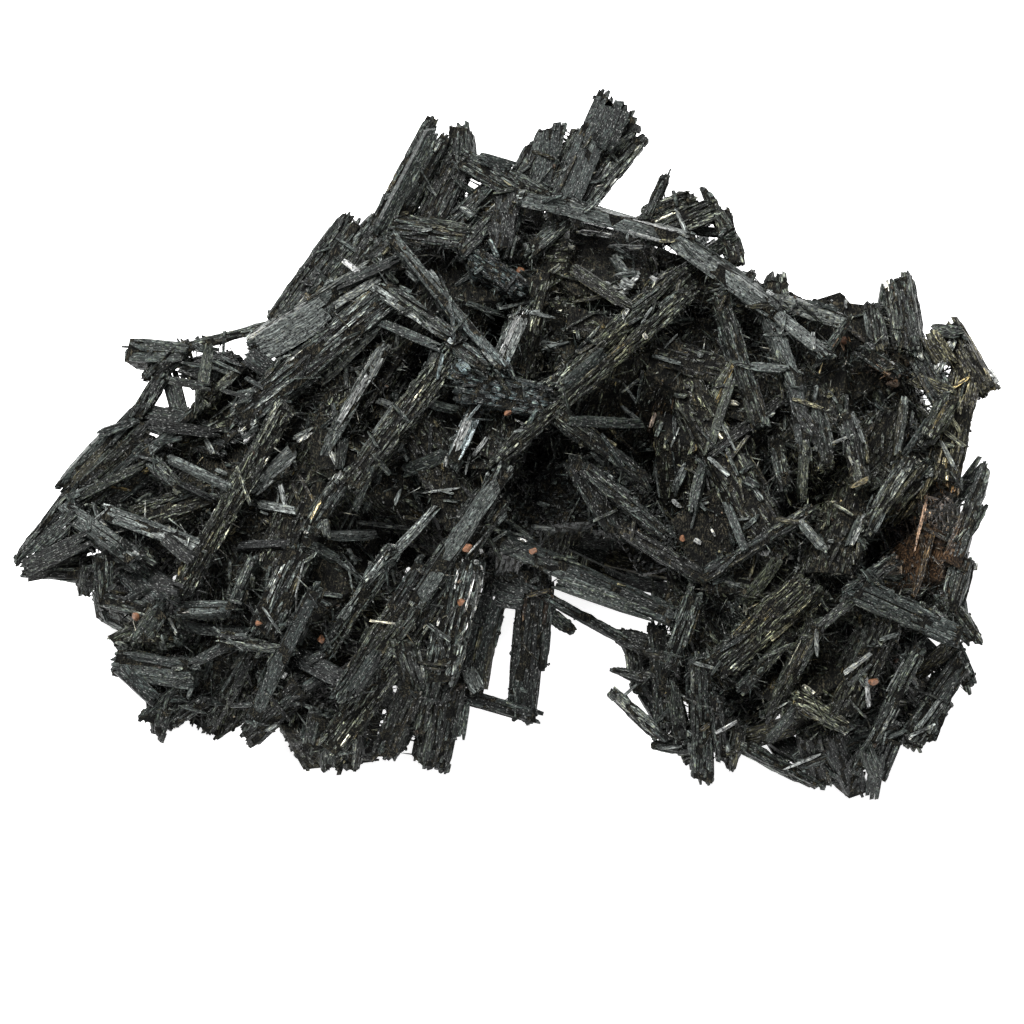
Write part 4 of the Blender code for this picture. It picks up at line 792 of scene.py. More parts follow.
def bed_laths(rng):
    """Broad laths lying every way just under the mound's surface, which the others rest on."""
    for x, y in plan_points(BED_STEP, BED_INSET, rng):
        normal = mass_normal(x, y)
        swing = rng.uniform(0, math.pi)
        axis = Vector((math.cos(swing), math.sin(swing), 0.0))
        axis = (axis - normal * axis.dot(normal)).normalized()
        half = rng.uniform(*BED_LENGTH) / 2
        sink = rng.uniform(*BED_SINK)
        ends = []
        for way in (-1, 1):
            reach = half
            while edge_distance(x + way * axis.x * reach, y + way * axis.y * reach) < BED_END_INSET:
                reach *= DRAW_IN
            end_x, end_y = x + way * axis.x * reach, y + way * axis.y * reach
            ends.append(Vector((end_x, end_y, max(mass_height(end_x, end_y) - sink, BED_LOWEST))))
        yield lath_rings(*ends, rng.uniform(*BED_WIDTH), BED_TIP, normal, rng), "felted"


def side_laths(rng):
    """Laths that lie and jut on the sides and the back."""
    for index, corner in enumerate(PLAN):
        if NOTCH_FROM <= index < NOTCH_TO:
            continue
        first = Vector((*corner, 0.0))
        last = Vector((*PLAN[(index + 1) % len(PLAN)], 0.0))
        step = SIDE_STEP_BACK if index < BACK_TO else SIDE_STEP_FRONT
        count = max(1, round((last - first).length / step))
        along = (last - first).normalized()
        outward = Vector((along.y, -along.x, 0.0))
        if edge_distance(*((first + last) / 2 + outward).xy) > 0:
            outward = -outward
        for number in range(count):
            foot = first.lerp(last, (number + rng.random()) / count)
            juts = foot.y > JUT_BEHIND and rng.random() < JUT_SHARE
            finish = SIDE_FINISHES[(index * 3 + number) % len(SIDE_FINISHES)]
            yield side_lath(foot, along, outward, juts, rng), finish


def side_lath(foot, along, outward, juts, rng):
    """One lath leaning on the side above a point of the plan's edge, or rooted in it and jutting out."""
    length = rng.uniform(*SIDE_LENGTH)
    if juts:
        x, y = (foot - outward * JUT_ROOT).xy
        start = Vector((x, y, mass_height(x, y) * rng.uniform(*JUT_HEIGHT)))
        axis = outward + along * rng.uniform(-1.0, 1.0) + Vector((0, 0, rng.uniform(*JUT_RISE)))
        end = start + axis.normalized() * min(length, JUT_LENGTH)
    else:
        swing = rng.uniform(-SIDE_SWING, SIDE_SWING)
        upward = Vector((0, 0, SIDE_RISE)) - outward * rng.uniform(*SIDE_LEAN)
        axis = (along * math.sin(swing) + upward * math.cos(swing)).normalized()
        start = foot + outward * rng.uniform(*SIDE_OUT) + Vector((0, 0, rng.uniform(*SIDE_FOOT)))
        start -= along * math.sin(swing) * length * SIDE_BACK
        end = start + axis * length
    return lath_rings(start, end, rng.uniform(*SIDE_WIDTH), rng.uniform(*SIDE_TIP), outward, rng)


def crystals():
    """Every crystal of the mass, as (its end outlines, its finish)."""
    yield from table_crystals()
    yield from notch_wall(random.Random(NOTCH_SEED))
    yield from bed_laths(random.Random(BED_SEED))
    yield from side_laths(random.Random(SIDE_SEED))
    yield from stout_prisms(random.Random(PRISM_SEED))


class Mass:
    """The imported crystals' surface, in the plan frame, for asking what is buried and what is seen."""

    def __init__(self):
        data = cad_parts[CRYSTALS].data
        self.points = [vert.co / MM + CENTRE for vert in data.vertices]
        self.faces = [tuple(face.vertices) for face in data.polygons]
        self.tree = BVHTree.FromPolygons(self.points, self.faces)

    def buried(self, point):
        """Whether a point is inside the mass."""
        found, normal, _, _ = self.tree.find_nearest(point)
        return (point - found).dot(normal) < 0

    def clearance(self, point):
        """How far a point is from the surface."""
        return self.tree.find_nearest(point)[3]

    def seen(self, point):
        """Whether any of the sky's directions is clear from a point."""
        return any(self.tree.ray_cast(point, way, SEE_FAR)[0] is None for way in SKY)

    def openness(self, point, ways, reach):
        """The share of directions that are clear for reach from a point."""
        return sum(self.tree.ray_cast(point, way, reach)[0] is None for way in ways) / len(ways)

    def backed(self, point):
        """Whether the mass lies in front of a point or behind it, as the viewer looks."""
        ways = (TO_VIEWER, -TO_VIEWER)
        return any(self.tree.ray_cast(point, way, SEE_FAR)[0] is not None for way in ways)

    def depth(self, across, up):
        """How near the viewer the surface is at (across, up), or None where there is a gap."""
        flat = Vector((across, 0.0, 0.0)) + UPWARD * up
        hit = self.tree.ray_cast(flat + TO_VIEWER * SEE_FAR, -TO_VIEWER)[0]
        return None if hit is None else hit.dot(TO_VIEWER)

    def samples(self, count, seed):
        """Points spread evenly over the surface, each with its face's normal."""
        rng = np.random.default_rng(seed)
        corners = np.array(self.points)[np.array(self.faces)]
        cross = np.cross(corners[:, 1] - corners[:, 0], corners[:, 2] - corners[:, 0])
        area = np.linalg.norm(cross, axis=1)
        chosen = rng.choice(len(area), size=count, p=area / area.sum())
        a, b = rng.random((2, count))
        flip = a + b > 1
        a[flip], b[flip] = 1 - a[flip], 1 - b[flip]
        first, second, third = corners[chosen].transpose(1, 0, 2)
        places = first + a[:, None] * (second - first) + b[:, None] * (third - first)
        return zip(map(Vector, places), map(Vector, cross[chosen] / area[chosen][:, None]))


def shade_of(point, tint, tone, rng, stain=0.0):
    """The colour of one blade: its tone on the grey ramp and its tint, with its share of stain as alpha."""
    up = point.y * VIEW_SIN + point.z * VIEW_COS
    tone += TONE_DRIFT * noise.noise(point / TONE_PATCH) + TONE_FLECK * noise.noise(point / TONE_SPOT)
    place_on = min(max(tone, 0.0), 0.999) * (len(TONES) - 1)
    low = int(place_on)
    colour = TONE_COLOURS[low].lerp(TONE_COLOURS[low + 1], place_on - low)
    grey = sum(colour) / 3
    colour = colour.lerp(TINT_COLOURS[tint] * grey, TINTS[tint][1] * rng.uniform(*TINT_SHARE))
    stain += STAIN_DRIFT * max(noise.noise(point / STAIN_PATCH + STAIN_OFFSET), 0.0)
    for across, upward, reach, name, strength in PATCHES:
        near = 1 - math.hypot(point.x - across, up - upward) / reach
        if near <= 0:
            continue
        if name == "ochre":
            stain += strength * near
        elif rng.random() < min(1.0, near * 2) * strength:
            colour = colour.lerp(TINT_COLOURS[name] * grey, rng.uniform(*PATCH_SHARE) * TINTS[name][1])
    if rng.random() < OCHRE_SHARE * stain:
        colour = colour.lerp(TINT_COLOURS["ochre"] * grey, rng.uniform(*OCHRE_STRENGTH))
    return (*colour, min(stain, 1.0))


def tint_scale(colour):
    """A tint as red, green and blue shares whose mean is one."""
    rgb = Vector(linear(colour))
    return rgb / (sum(rgb) / 3)


TONE_COLOURS = [Vector(linear(colour)) for colour in TONES]
TINT_COLOURS = {name: tint_scale(colour) for name, (colour, _) in TINTS.items()}


def pick(test):
    """Selects the vertices of the mesh in edit mode whose place passes a test."""
    mesh = bmesh.from_edit_mesh(bpy.context.object.data)
    for vert in mesh.verts:
        vert.select = test(vert.co)
    mesh.select_flush_mode()
    bmesh.update_edit_mesh(bpy.context.object.data)


def taken_shape():
    """The points and faces of the active object, which is then removed."""
    model = bpy.context.object
    points = np.array([vert.co for vert in model.data.vertices])
    faces = np.array([face.vertices for face in model.data.polygons])
    bpy.data.objects.remove(model)
    return points, faces


def model_blade(sections, skew):
    """A blade in a unit box, as points and four-cornered faces: a cube cut across, section by section."""
    bpy.ops.object.select_all(action="DESELECT")
    bpy.ops.mesh.primitive_cube_add(size=1.0)
    bpy.ops.object.mode_set(mode="EDIT")
    bpy.ops.mesh.select_mode(type="VERT")
    for along, *_ in sections[1:-1]:
        bpy.ops.mesh.select_all(action="SELECT")
        bpy.ops.mesh.bisect(plane_co=(along, 0, 0), plane_no=(1, 0, 0))
    for along, slip, rise, width, height in sections:
        pick(lambda co: abs(co.x - along) < SAME_PLACE)
        bpy.ops.transform.resize(value=(1.0, width, height), center_override=(along, 0.0, 0.0))
        bpy.ops.transform.translate(value=(0.0, slip, rise))
    for way in (-1, 1):
        pick(lambda co: co.x * way > 0.5 - SAME_PLACE and co.y > 0)
        bpy.ops.transform.translate(value=(-way * skew, 0.0, 0.0))
    bpy.ops.object.mode_set(mode="OBJECT")
    return taken_shape()


def model_needle():
    """A needle in a unit box: a three-sided spike along it."""
    bpy.ops.object.select_all(action="DESELECT")
    bpy.ops.mesh.primitive_cone_add(
        vertices=3, radius1=NEEDLE_FOOT, radius2=0.0, depth=1.0, rotation=(0, math.pi / 2, 0)
    )
    bpy.ops.object.transform_apply(location=False, rotation=True, scale=False)
    return taken_shape()


class Blades:
    """Blades gathered for one piece, each the box that its form is stretched to, with its colour."""

    def __init__(self):
        self.rows = {form: [] for form in BLADE_FORMS}

    def add(self, form, middle, along, across, rise, colour, wear):
        """One more blade: its form, the middle and the three edges of its box, its colour and its wear."""
        self.rows[form].append((*middle, *along, *across, *rise, *colour, wear))

    def make(self, name, material, seed):
        """One joined mesh of every blade, with its colours and a grain map in millimetres."""
        rng = np.random.default_rng(seed)
        points, faces, colours, wears, grain = [], [], [], [], []
        start = 0
        for form, rows in self.rows.items():
            if not rows:
                continue
            shape, sides = BLADE_FORMS[form]
            row = np.array(rows)
            middle, along, across, rise, colour, wear = np.split(row, (3, 6, 9, 12, 16), axis=1)
            made = (
                middle[:, None]
                + shape[None, :, 0:1] * along[:, None]
                + shape[None, :, 1:2] * across[:, None]
                + shape[None, :, 2:3] * rise[:, None]
            )
            sizes = [np.linalg.norm(part, axis=1)[:, None] for part in (along, across, rise)]
            shift = rng.random((2, len(rows), 1)) * GRAIN_SHIFT
            u = shape[None, :, 1] * sizes[1] + shape[None, :, 2] * sizes[2] + shift[0]
            v = shape[None, :, 0] * sizes[0] + shift[1]
            points.append(made.reshape(-1, 3))
            grain.append(np.stack((u, v), axis=2).reshape(-1, 2))
            colours.append(np.repeat(colour, len(shape), axis=0))
            wears.append(np.repeat(wear, len(shape)))
            firsts = start + np.arange(len(rows)) * len(shape)
            faces.append((firsts[:, None, None] + sides[None]).reshape(-1, sides.shape[1]))
            start += len(rows) * len(shape)
        points = np.concatenate(points)
        points[:, 2] = np.maximum(points[:, 2], LOWEST)
        points = (points - np.array(CENTRE)) * MM
        low, high = np.array(CAD_BOX[0]) - BOX_SPARE * MM, np.array(CAD_BOX[1]) + BOX_SPARE * MM
        points = np.clip(points, (*low[:2], -np.inf), high)
        corners = np.concatenate([part.ravel() for part in faces])
        data = bpy.data.meshes.new(name)
        data.from_pydata(points, [], [side for part in faces for side in part.tolist()])
        shade = data.attributes.new("shade", "FLOAT_COLOR", "POINT")
        shade.data.foreach_set("color", np.concatenate(colours).astype(np.float32).ravel())
        worn = data.attributes.new("wear", "FLOAT", "POINT")
        worn.data.foreach_set("value", np.concatenate(wears).astype(np.float32))
        layer = data.uv_layers.new(name="grain")
        layer.uv.foreach_set("vector", np.concatenate(grain)[corners].astype(np.float32).ravel())
        data.materials.append(material)
        piece = bpy.data.objects.new(name, data)
        bpy.context.scene.collection.objects.link(piece)
        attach(piece, "root")
        return piece


BLADE_FORMS = {name: model_blade(sections, END_SKEW[name]) for name, sections in FORMS.items()}
BLADE_FORMS["needle"] = model_needle()


def box_of(low, high, width, outward, lift, sunk):
    """Middle, along, across and rise of a blade from low to high, sunk below its line and lifted over it."""
    along = high - low
    side = outward.cross(along).normalized()
    normal = along.cross(side).normalized()
    middle = (low + high) / 2 + normal * (lift - sunk) / 2
    return middle, along, side * width, normal * (lift + sunk)


def look_of(finish):
    """A finish by its name; each + or - after the name makes it one step lighter or darker."""
    look = FINISHES[finish.rstrip("+-")]
    return look._replace(tone=look.tone + TONE_STEP * (finish.count("+") - finish.count("-")))


def clad_face(blades, mass, corners, outward, finish, tone, rng):
    """Strips lane by lane over one long face of a crystal; corners run along, across and back."""
    look = look_of(finish)
    roll = math.radians(ROLL.get(finish.rstrip("+-"), ROLL_ELSE))
    a, b, c, d = corners
    width = ((b - a).length + (c - d).length) / 2
    lanes = max(1, round(width / rng.uniform(*look.widths)))
    for lane in range(lanes):
        places = [(lane + 0.5 + rng.uniform(-EDGE_PLAY, EDGE_PLAY)) / lanes for _ in range(2)]
        low, high = (p.lerp(q, min(max(share, 0.0), 1.0)) for (p, q), share in zip(((a, b), (d, c)), places))
        length = (high - low).length
        axis = (high - low).normalized()
        lane_width = width / lanes * LANE_COVER
        lane_tone = tone + rng.gauss(0, look.spread) * LANE_SPREAD
        reach = -rng.uniform(*OVERRUN)
        until = length + rng.uniform(*OVERRUN)
        while reach < until - STRIP_LAP[1]:
            run = min(rng.uniform(*look.lengths), until - reach)
            if until - reach - run < STRIP_LEAST:
                run = until - reach
            first, last = low + axis * reach, low + axis * (reach + run)
            reach += run - rng.uniform(*STRIP_LAP)
            rise = rng.uniform(*look.rises)
            probes = [first.lerp(last, share) + outward * (rise + PROBE_OUT) for share in PROBE_SHARES]
            clear = [probe for probe in probes if not mass.buried(probe)]
            if not clear or not any(mass.seen(probe) for probe in clear):
                continue
            lowest = min(first.z, last.z)
            if lowest < BELOW_FLOOR or (outward.z < UNDERSIDE_FROM and lowest < UNDERSIDE_CLEAR):
                continue
            strip_tone = lane_tone + rng.gauss(0, look.spread) * STRIP_SPREAD
            colour = shade_of(clear[0], look.tint, strip_tone, rng, look.stain)
            leaning = Matrix.Rotation(rng.gauss(0, roll), 3, axis) @ outward
            last = last + leaning.cross(axis) * rng.gauss(0, STRIP_SWAY) * run
            box = box_of(first, last, lane_width * rng.uniform(*STRIP_WIDTH), leaning, rise, SUNK)
            blades.add(rng.choice(look.forms), *box, colour, look.wear)


def inside_outline(x, y, outline):
    """Whether a point is inside a closed outline of (x, y) corners."""
    inside = False
    for index, (x1, y1) in enumerate(outline):
        x2, y2 = outline[index - 1]
        if (y1 > y) != (y2 > y) and x < x1 + (y - y1) / (y2 - y1) * (x2 - x1):
            inside = not inside
    return inside


def clad_end(blades, mass, ring, axis, finish, tone, rng):
    """Stubs that fill a crystal's broken end, standing proud of it by different amounts."""
    look = look_of(finish)
    centre = sum(ring, Vector()) / len(ring)
    side = ring[1] - ring[0]
    side = (side - axis * side.dot(axis)).normalized()
    over = axis.cross(side)
    outline = [((p - centre).dot(side), (p - centre).dot(over)) for p in ring]
    slopes = [(p - centre).dot(axis) for p in ring]
    pitch = rng.uniform(*END_PITCH)
    reach = max(max(abs(x), abs(y)) for x, y in outline)
    steps = int(reach / pitch) + 1
    for row in range(-steps, steps + 1):
        for column in range(-steps, steps + 1):
            x = (column + rng.uniform(-END_PLAY, END_PLAY)) * pitch
            y = (row + rng.uniform(-END_PLAY, END_PLAY)) * pitch
            proud = rng.uniform(*(END_LONG if rng.random() >= END_SHORT_SHARE else END_PROUD))
            if not inside_outline(x * END_MARGIN, y * END_MARGIN, outline):
                continue
            weights = [1 / ((x - px) ** 2 + (y - py) ** 2 + 0.01) for px, py in outline]
            level = sum(w * s for w, s in zip(weights, slopes)) / sum(weights)
            base = centre + side * x + over * y + axis * level
            top = base + axis * proud
            if mass.buried(top) or not mass.seen(top):
                continue
            size = pitch * rng.uniform(*END_WIDTH)
            wide = Matrix.Rotation(rng.uniform(0, math.pi), 3, axis) @ side
            along = axis * (proud + END_ROOT) + side * rng.uniform(-END_LEAN, END_LEAN)
            along += over * rng.uniform(-END_LEAN, END_LEAN)
            end_tone = tone - END_DARKER + rng.gauss(0, look.spread + END_SPREAD)
            colour = shade_of(top, look.tint, end_tone, rng, look.stain)
            thick = axis.cross(wide) * size * rng.uniform(*END_THICKNESS)
            middle = base + along / 2 - axis * END_ROOT
            blades.add("stub", middle, along, wide * size, thick, colour, END_WEAR)


def clad_crystal(faces, ends, mass, rings, finish, rng):
    """Splinters over every long face and both ends of one crystal."""
    low, high = rings
    centres = [sum(ring, Vector()) / len(ring) for ring in rings]
    axis = (centres[1] - centres[0]).normalized()
    tone = look_of(finish).tone + rng.gauss(0, CRYSTAL_SPREAD)
    for i in range(len(low)):
        j = (i + 1) % len(low)
        corners = (low[i], low[j], high[j], high[i])
        middle = sum(corners, Vector()) / 4
        outward = (corners[1] - corners[0]).cross(corners[3] - corners[0]).normalized()
        from_axis = (middle - centres[0]) - axis * (middle - centres[0]).dot(axis)
        if outward.dot(from_axis) < 0:
            outward = -outward
        clad_face(faces, mass, corners, outward, finish, tone, rng)
    if finish != "felted":
        clad_end(ends, mass, low, -axis, finish, tone, rng)
        clad_end(ends, mass, high, axis, finish, tone, rng)


def region_of(rings):
    """The name of the part of the cluster that a crystal belongs to."""
    middle = sum((p for ring in rings for p in ring), Vector()) / sum(len(ring) for ring in rings)
    return "behind" if middle.y > BEHIND_FROM else side_of(middle)


def side_of(point):
    """Whether a point is at the left, the centre or the right."""
    return "left" if point.x < -SIDES_FROM else "right" if point.x > SIDES_FROM else "centre"


def node(tree, kind, links=(), **settings):
    """Adds a shader node with its settings; links name (socket, source node, source socket)."""
    made = tree.nodes.new(kind)
    for name, value in settings.items():
        if name.startswith("in_"):
            key = name[3:]
            made.inputs[int(key) if key.isdigit() else key.replace("_", " ")].default_value = value
        else:
            setattr(made, name, value)
    for socket, source, output in links:
        tree.links.new(source.outputs[output], made.inputs[socket])
    return made


def new_material(name, roughness, ior):
    """A material with only its surface shader, whose plain numbers are set on it."""
    material = bpy.data.materials.new(name)
    material.use_nodes = True
    shader = material.node_tree.nodes["Principled BSDF"]
    shader.inputs["Roughness"].default_value = roughness
    shader.inputs["IOR"].default_value = ior
    return material, material.node_tree, shader


def ramp(tree, source, output, stops):
    """A colour ramp of (place, sRGB colour) stops or (place, grey value) stops."""
    made = node(tree, "ShaderNodeValToRGB", [("Fac", source, output)])
    bands = made.color_ramp.elements
    while len(bands) < len(stops):
        bands.new(0.5)
    for band, (place_on, colour) in zip(bands, stops):
        band.position = place_on
        rgb = linear(colour) if isinstance(colour, str) else (colour,) * 3
        band.color = (*rgb, 1.0)
    return made


def grain_noise(tree, grain, across, along, detail=2.0):
    """Noise on the grain map, whose spots are the given sizes in millimetres."""
    spots = node(tree, "ShaderNodeMapping", [("Vector", grain, "UV")],
                 in_Scale=(1 / across, 1 / along, 1.0))
    return node(tree, "ShaderNodeTexNoise", [("Vector", spots, "Vector")], noise_dimensions="2D",
                in_Scale=1.0, in_Detail=detail, in_Roughness=0.65)


def blend(tree, kind, first, second, factor=1.0):
    """Mixes two colours, each a (node, output) pair or a plain colour; the factor may be a pair as well."""
    made = node(tree, "ShaderNodeMix", data_type="RGBA", blend_type=kind)
    for socket, value in ((0, factor), (6, first), (7, second)):
        if isinstance(value, tuple) and isinstance(value[0], bpy.types.Node):
            tree.links.new(value[0].outputs[value[1]], made.inputs[socket])
        else:
            made.inputs[socket].default_value = value
    return made, 2


def crystal_material():
    """Aegirine, a black-green pyroxene cleaved into splinters.

    Fresh cleavage shows as fine bright lines along the blades; worn faces are dull, pitted and touched
    with ochre.
    """
    material, tree, shader = new_material("aegirine_cleaved", 0.45, 1.76)
    shader.inputs["Specular IOR Level"].default_value = 0.12
    shade = node(tree, "ShaderNodeAttribute", attribute_name="shade", attribute_type="GEOMETRY")
    wear = node(tree, "ShaderNodeAttribute", attribute_name="wear", attribute_type="GEOMETRY")
    grain = node(tree, "ShaderNodeUVMap", uv_map="grain")
    # Fibres 0.19 mm wide, a little coarser than the real ones so that they show.
    fibres = grain_noise(tree, grain, 0.19, 1.5)
    bands = grain_noise(tree, grain, 0.6, 4.5, 1.0)
    pits = grain_noise(tree, grain, 0.34, 0.5)
    painted_glint_noise = grain_noise(tree, grain, 0.18, 0.45, 1.0)
    lines = ramp(tree, fibres, "Fac", ((0.36, 0.10), (0.44, 0.34), (0.53, 1.0), (0.61, 3.0), (0.69, 6.6)))
    worn = blend(tree, "MIX", (0.9, 0.9, 0.9, 1.0), (lines, "Color"), (wear, "Fac"))
    broad = ramp(tree, bands, "Fac", ((0.30, 0.60), (0.70, 1.40)))
    holes = ramp(tree, pits, "Fac", ((0.35, 0.08), (0.44, 0.95), (0.62, 1.35)))
    pattern = blend(tree, "MULTIPLY", worn, blend(tree, "MULTIPLY", (broad, "Color"), (holes, "Color")))
    toned = blend(tree, "MULTIPLY", (shade, "Color"), pattern)
    # Ochre and olive decay colours the pits' rims, most where the blade's stain is high.
    share = node(tree, "ShaderNodeMath", [(0, pits, "Fac"), (1, shade, "Alpha")], operation="ADD")
    spots = ramp(tree, share, 0, ((0.62, 0.0), (1.0, 1.0)))
    ochre = blend(tree, "MULTIPLY", toned, (1.40, 1.26, 0.84, 1.0))
    stained = blend(tree, "MIX", toned, ochre, (spots, "Color"))
    # Small bright flecks in the base colour: painted glints.
    bright = ramp(tree, painted_glint_noise, "Fac", ((0.66, 0.0), (0.75, 0.85)))
    with_painted_glints = blend(tree, "MIX", stained, (*linear("#8a8b88"), 1.0), (bright, "Color"))
    tree.links.new(with_painted_glints[0].outputs[with_painted_glints[1]], shader.inputs["Base Color"])
    gloss = node(tree, "ShaderNodeMapRange", [("Value", pits, "Fac")],
                 in_1=0.3, in_2=0.7, in_3=0.60, in_4=0.32)
    tree.links.new(gloss.outputs[0], shader.inputs["Roughness"])
    relief = node(tree, "ShaderNodeMath", [(0, fibres, "Fac"), (1, pits, "Fac")], operation="ADD")
    bump = node(tree, "ShaderNodeBump", [("Height", relief, 0)], in_Strength=1.0, in_Distance=0.15 * MM)
    tree.links.new(bump.outputs["Normal"], shader.inputs["Normal"])
    return material


def hollow_material():
    """Aegirine deep in the mass: near black, a painted shade for the hollows between the splinters, felted
    with crossing fibres, and dusted with brown decay.
    """
    material, tree, shader = new_material("aegirine_hollow_painted_shade", 0.75, 1.7)
    shader.inputs["Specular IOR Level"].default_value = 0.08
    place_on = node(tree, "ShaderNodeTexCoord")
    felt = None
    for turn in ((0.9, 0.3, 0.0), (-0.7, 1.1, 0.5), (0.2, -1.2, 1.4)):
        # Fibres 0.2 mm thick and 1.3 mm long.
        laid = node(tree, "ShaderNodeMapping", [("Vector", place_on, "Object")], vector_type="TEXTURE",
                    in_Rotation=turn, in_Scale=(0.2 * MM, 0.2 * MM, 1.3 * MM))
        fibres = node(tree, "ShaderNodeTexNoise", [("Vector", laid, "Vector")], in_Scale=1.0, in_Detail=1.0)
        felt = fibres if felt is None else node(tree, "ShaderNodeMath", [(0, felt, 0), (1, fibres, 0)],
                                                operation="MAXIMUM")
    # Clots 1.1 mm across.
    clots = node(tree, "ShaderNodeTexNoise", [("Vector", place_on, "Object")], in_Scale=1.0 / (1.1 * MM),
                 in_Detail=2.0, in_Roughness=0.6)
    # The felt runs near black: its darkness is painted shade of the hollows.
    lit = ramp(tree, felt, 0, ((0.52, "#070807"), (0.57, "#101310"), (0.62, "#252824"), (0.70, "#4c4b42")))
    dark = ramp(tree, clots, "Fac", ((0.38, "#505050"), (0.50, "#b0aaa2"), (0.62, "#f4e6d6")))
    mixed = blend(tree, "MULTIPLY", (lit, "Color"), (dark, "Color"))
    # Rust fills one hollow at the right, fading out from its middle in clots.
    near = node(tree, "ShaderNodeMapping", [("Vector", place_on, "Object")], vector_type="TEXTURE",
                in_Location=(place(RUST_HOLLOW[:3]) - CENTRE) * MM, in_Scale=(RUST_HOLLOW[3] * MM,) * 3)
    ball = node(tree, "ShaderNodeTexGradient", [("Vector", near, "Vector")], gradient_type="SPHERICAL")
    share = node(tree, "ShaderNodeMath", [(0, ball, "Fac"), (1, clots, "Fac")], operation="MULTIPLY")
    rusted = ramp(tree, share, 0, ((0.15, 0.0), (0.36, 0.80)))
    rust = ramp(tree, felt, 0, ((0.48, "#0e0a06"), (0.56, "#2b1e13"), (0.64, "#4c3723"), (0.74, "#6a5038")))
    mixed = blend(tree, "MIX", mixed, (rust, "Color"), (rusted, "Color"))
    tree.links.new(mixed[0].outputs[mixed[1]], shader.inputs["Base Color"])
    bump = node(tree, "ShaderNodeBump", [("Height", felt, 0)], in_Strength=1.0, in_Distance=0.3 * MM)
    tree.links.new(bump.outputs["Normal"], shader.inputs["Normal"])
    return material


def feldspar_material():
    """Potassium feldspar: dull salmon grains with paler cleavage and brown dirt on them."""
    material, tree, shader = new_material("potassium_feldspar", 0.6, 1.52)
    place_on = node(tree, "ShaderNodeTexCoord")
    # Mottling 0.4 mm across.
    mottle = node(tree, "ShaderNodeTexNoise", [("Vector", place_on, "Object")], in_Scale=1.0 / (0.4 * MM),
                  in_Detail=3.0, in_Roughness=0.65)
    stops = ((0.30, "#2c1c12"), (0.46, "#64422a"), (0.60, "#80563a"), (0.76, "#937154"))
    colour = ramp(tree, mottle, "Fac", stops)
    tree.links.new(colour.outputs["Color"], shader.inputs["Base Color"])
    bump = node(tree, "ShaderNodeBump", [("Height", mottle, "Fac")], in_Strength=0.7, in_Distance=0.08 * MM)
    tree.links.new(bump.outputs["Normal"], shader.inputs["Normal"])
    return material


def material_named(name, maker):
    """The scene's material of a name, made the first time it is wanted."""
    return bpy.data.materials.get(name) or maker()


def crystal_finish():
    """The finish of every piece made of blades."""
    return material_named("aegirine_cleaved", crystal_material)


def random_way(rng):
    """A direction drawn evenly from the whole sphere."""
    while True:
        way = Vector((rng.uniform(-1, 1), rng.uniform(-1, 1), rng.uniform(-1, 1)))
        if 0.05 < way.length < 1:
            return way.normalized()


class AegirineSettings(bpy.types.PropertyGroup):
    """What a user would change."""

    small_count: bpy.props.IntProperty(
        name="Small crystals", description="Small crystals strewn over the cluster", default=1900, min=0)
    needle_count: bpy.props.IntProperty(
        name="Needles", description="Needles drawn over the mass", default=190000, min=0)
    crumb_count: bpy.props.IntProperty(
        name="Crumbs", description="Loose crumbs in the hollows", default=2600, min=0)
    needle_length: bpy.props.FloatProperty(
        name="Needle length", description="Longest needle of the felt", default=0.0034, min=0.0005,
        unit="LENGTH")
    floor_colour: bpy.props.FloatVectorProperty(
        name="Floor", description="Colour of the plain floor", default=(0.9, 0.9, 0.9), subtype="COLOR")


class AEGIRINE_OT_core(bpy.types.Operator):
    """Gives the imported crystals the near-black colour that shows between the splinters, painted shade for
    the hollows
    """

    bl_idname = "aegirine.core"
    bl_label = "Crystal core"

    def execute(self, context):
        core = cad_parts[CRYSTALS]
        core.data.materials.clear()
        core.data.materials.append(material_named("aegirine_hollow_painted_shade", hollow_material))
        return {"FINISHED"}


class AEGIRINE_OT_splinters(bpy.types.Operator):
    """Clads every crystal's faces and broken ends with splinters, one piece for each part of the cluster"""

    bl_idname = "aegirine.splinters"
    bl_label = "Splintered faces"

    def execute(self, context):
        mass = Mass()
        rng = random.Random(SPLINTER_SEED)
        faces = {region: Blades() for region in REGIONS}
        ends = Blades()
        for rings, finish in crystals():
            clad_crystal(faces[region_of(rings)], ends, mass, rings, finish, rng)
        for seed, region in enumerate(REGIONS):
            faces[region].make(f"splinters_{region}", crystal_finish(), seed)
        ends.make("broken_ends", crystal_finish(), END_MAP_SEED)
        return {"FINISHED"}


# A small crystal lies LIE_PROUD and a share of its width over the mass, or UNDER the surface. It may dip by
# SMALL_GAP of its length where it crosses a gap, and one all over a gap is lifted by IN_A_GAP.
LIE_PROUD = 0.35
LIE_SHARE = 0.25
UNDER = 1.8
SMALL_GAP = 0.5
IN_A_GAP = 2.0
# It is one, two or three strips side by side, which end unevenly and are RAISED over its line by a share.
LATH_SWING = 0.5
LATH_ONE_STRIP = 0.7
LATH_TWO_STRIPS = 1.3
LATH_TONE = 0.04
LATH_SPREAD = 0.7
LATH_OUT = 0.4
LATH_IN = 0.3
LATH_COVER = 1.12
LATH_THICK = 1.1
LATH_THINNING = (0.7, 1.0)
LATH_RAISED = 0.35

# The small crystals strewn at random: the spots tried for each one wanted, how they lie, and their sizes.
TRIES = 6
STREWN_OVER = 0.4
STREWN_DOWN = -0.3
STREWN_LOWEST = 3.0
STREWN_CLEAR = 1.3
STREWN_FLAT = (0.75, 1.0)
STREWN_HOLD = (0.3, 0.7)
STREWN_LENGTH = (1.0, 5.2)
STREWN_WIDTH = (0.18, 0.55)
# The pale and bright ones among them are partly painted highlight.
STREWN_FINISHES = ("grey", "ridged", "green", "dark", "pale", "pale", "bright", "grey", "brown")


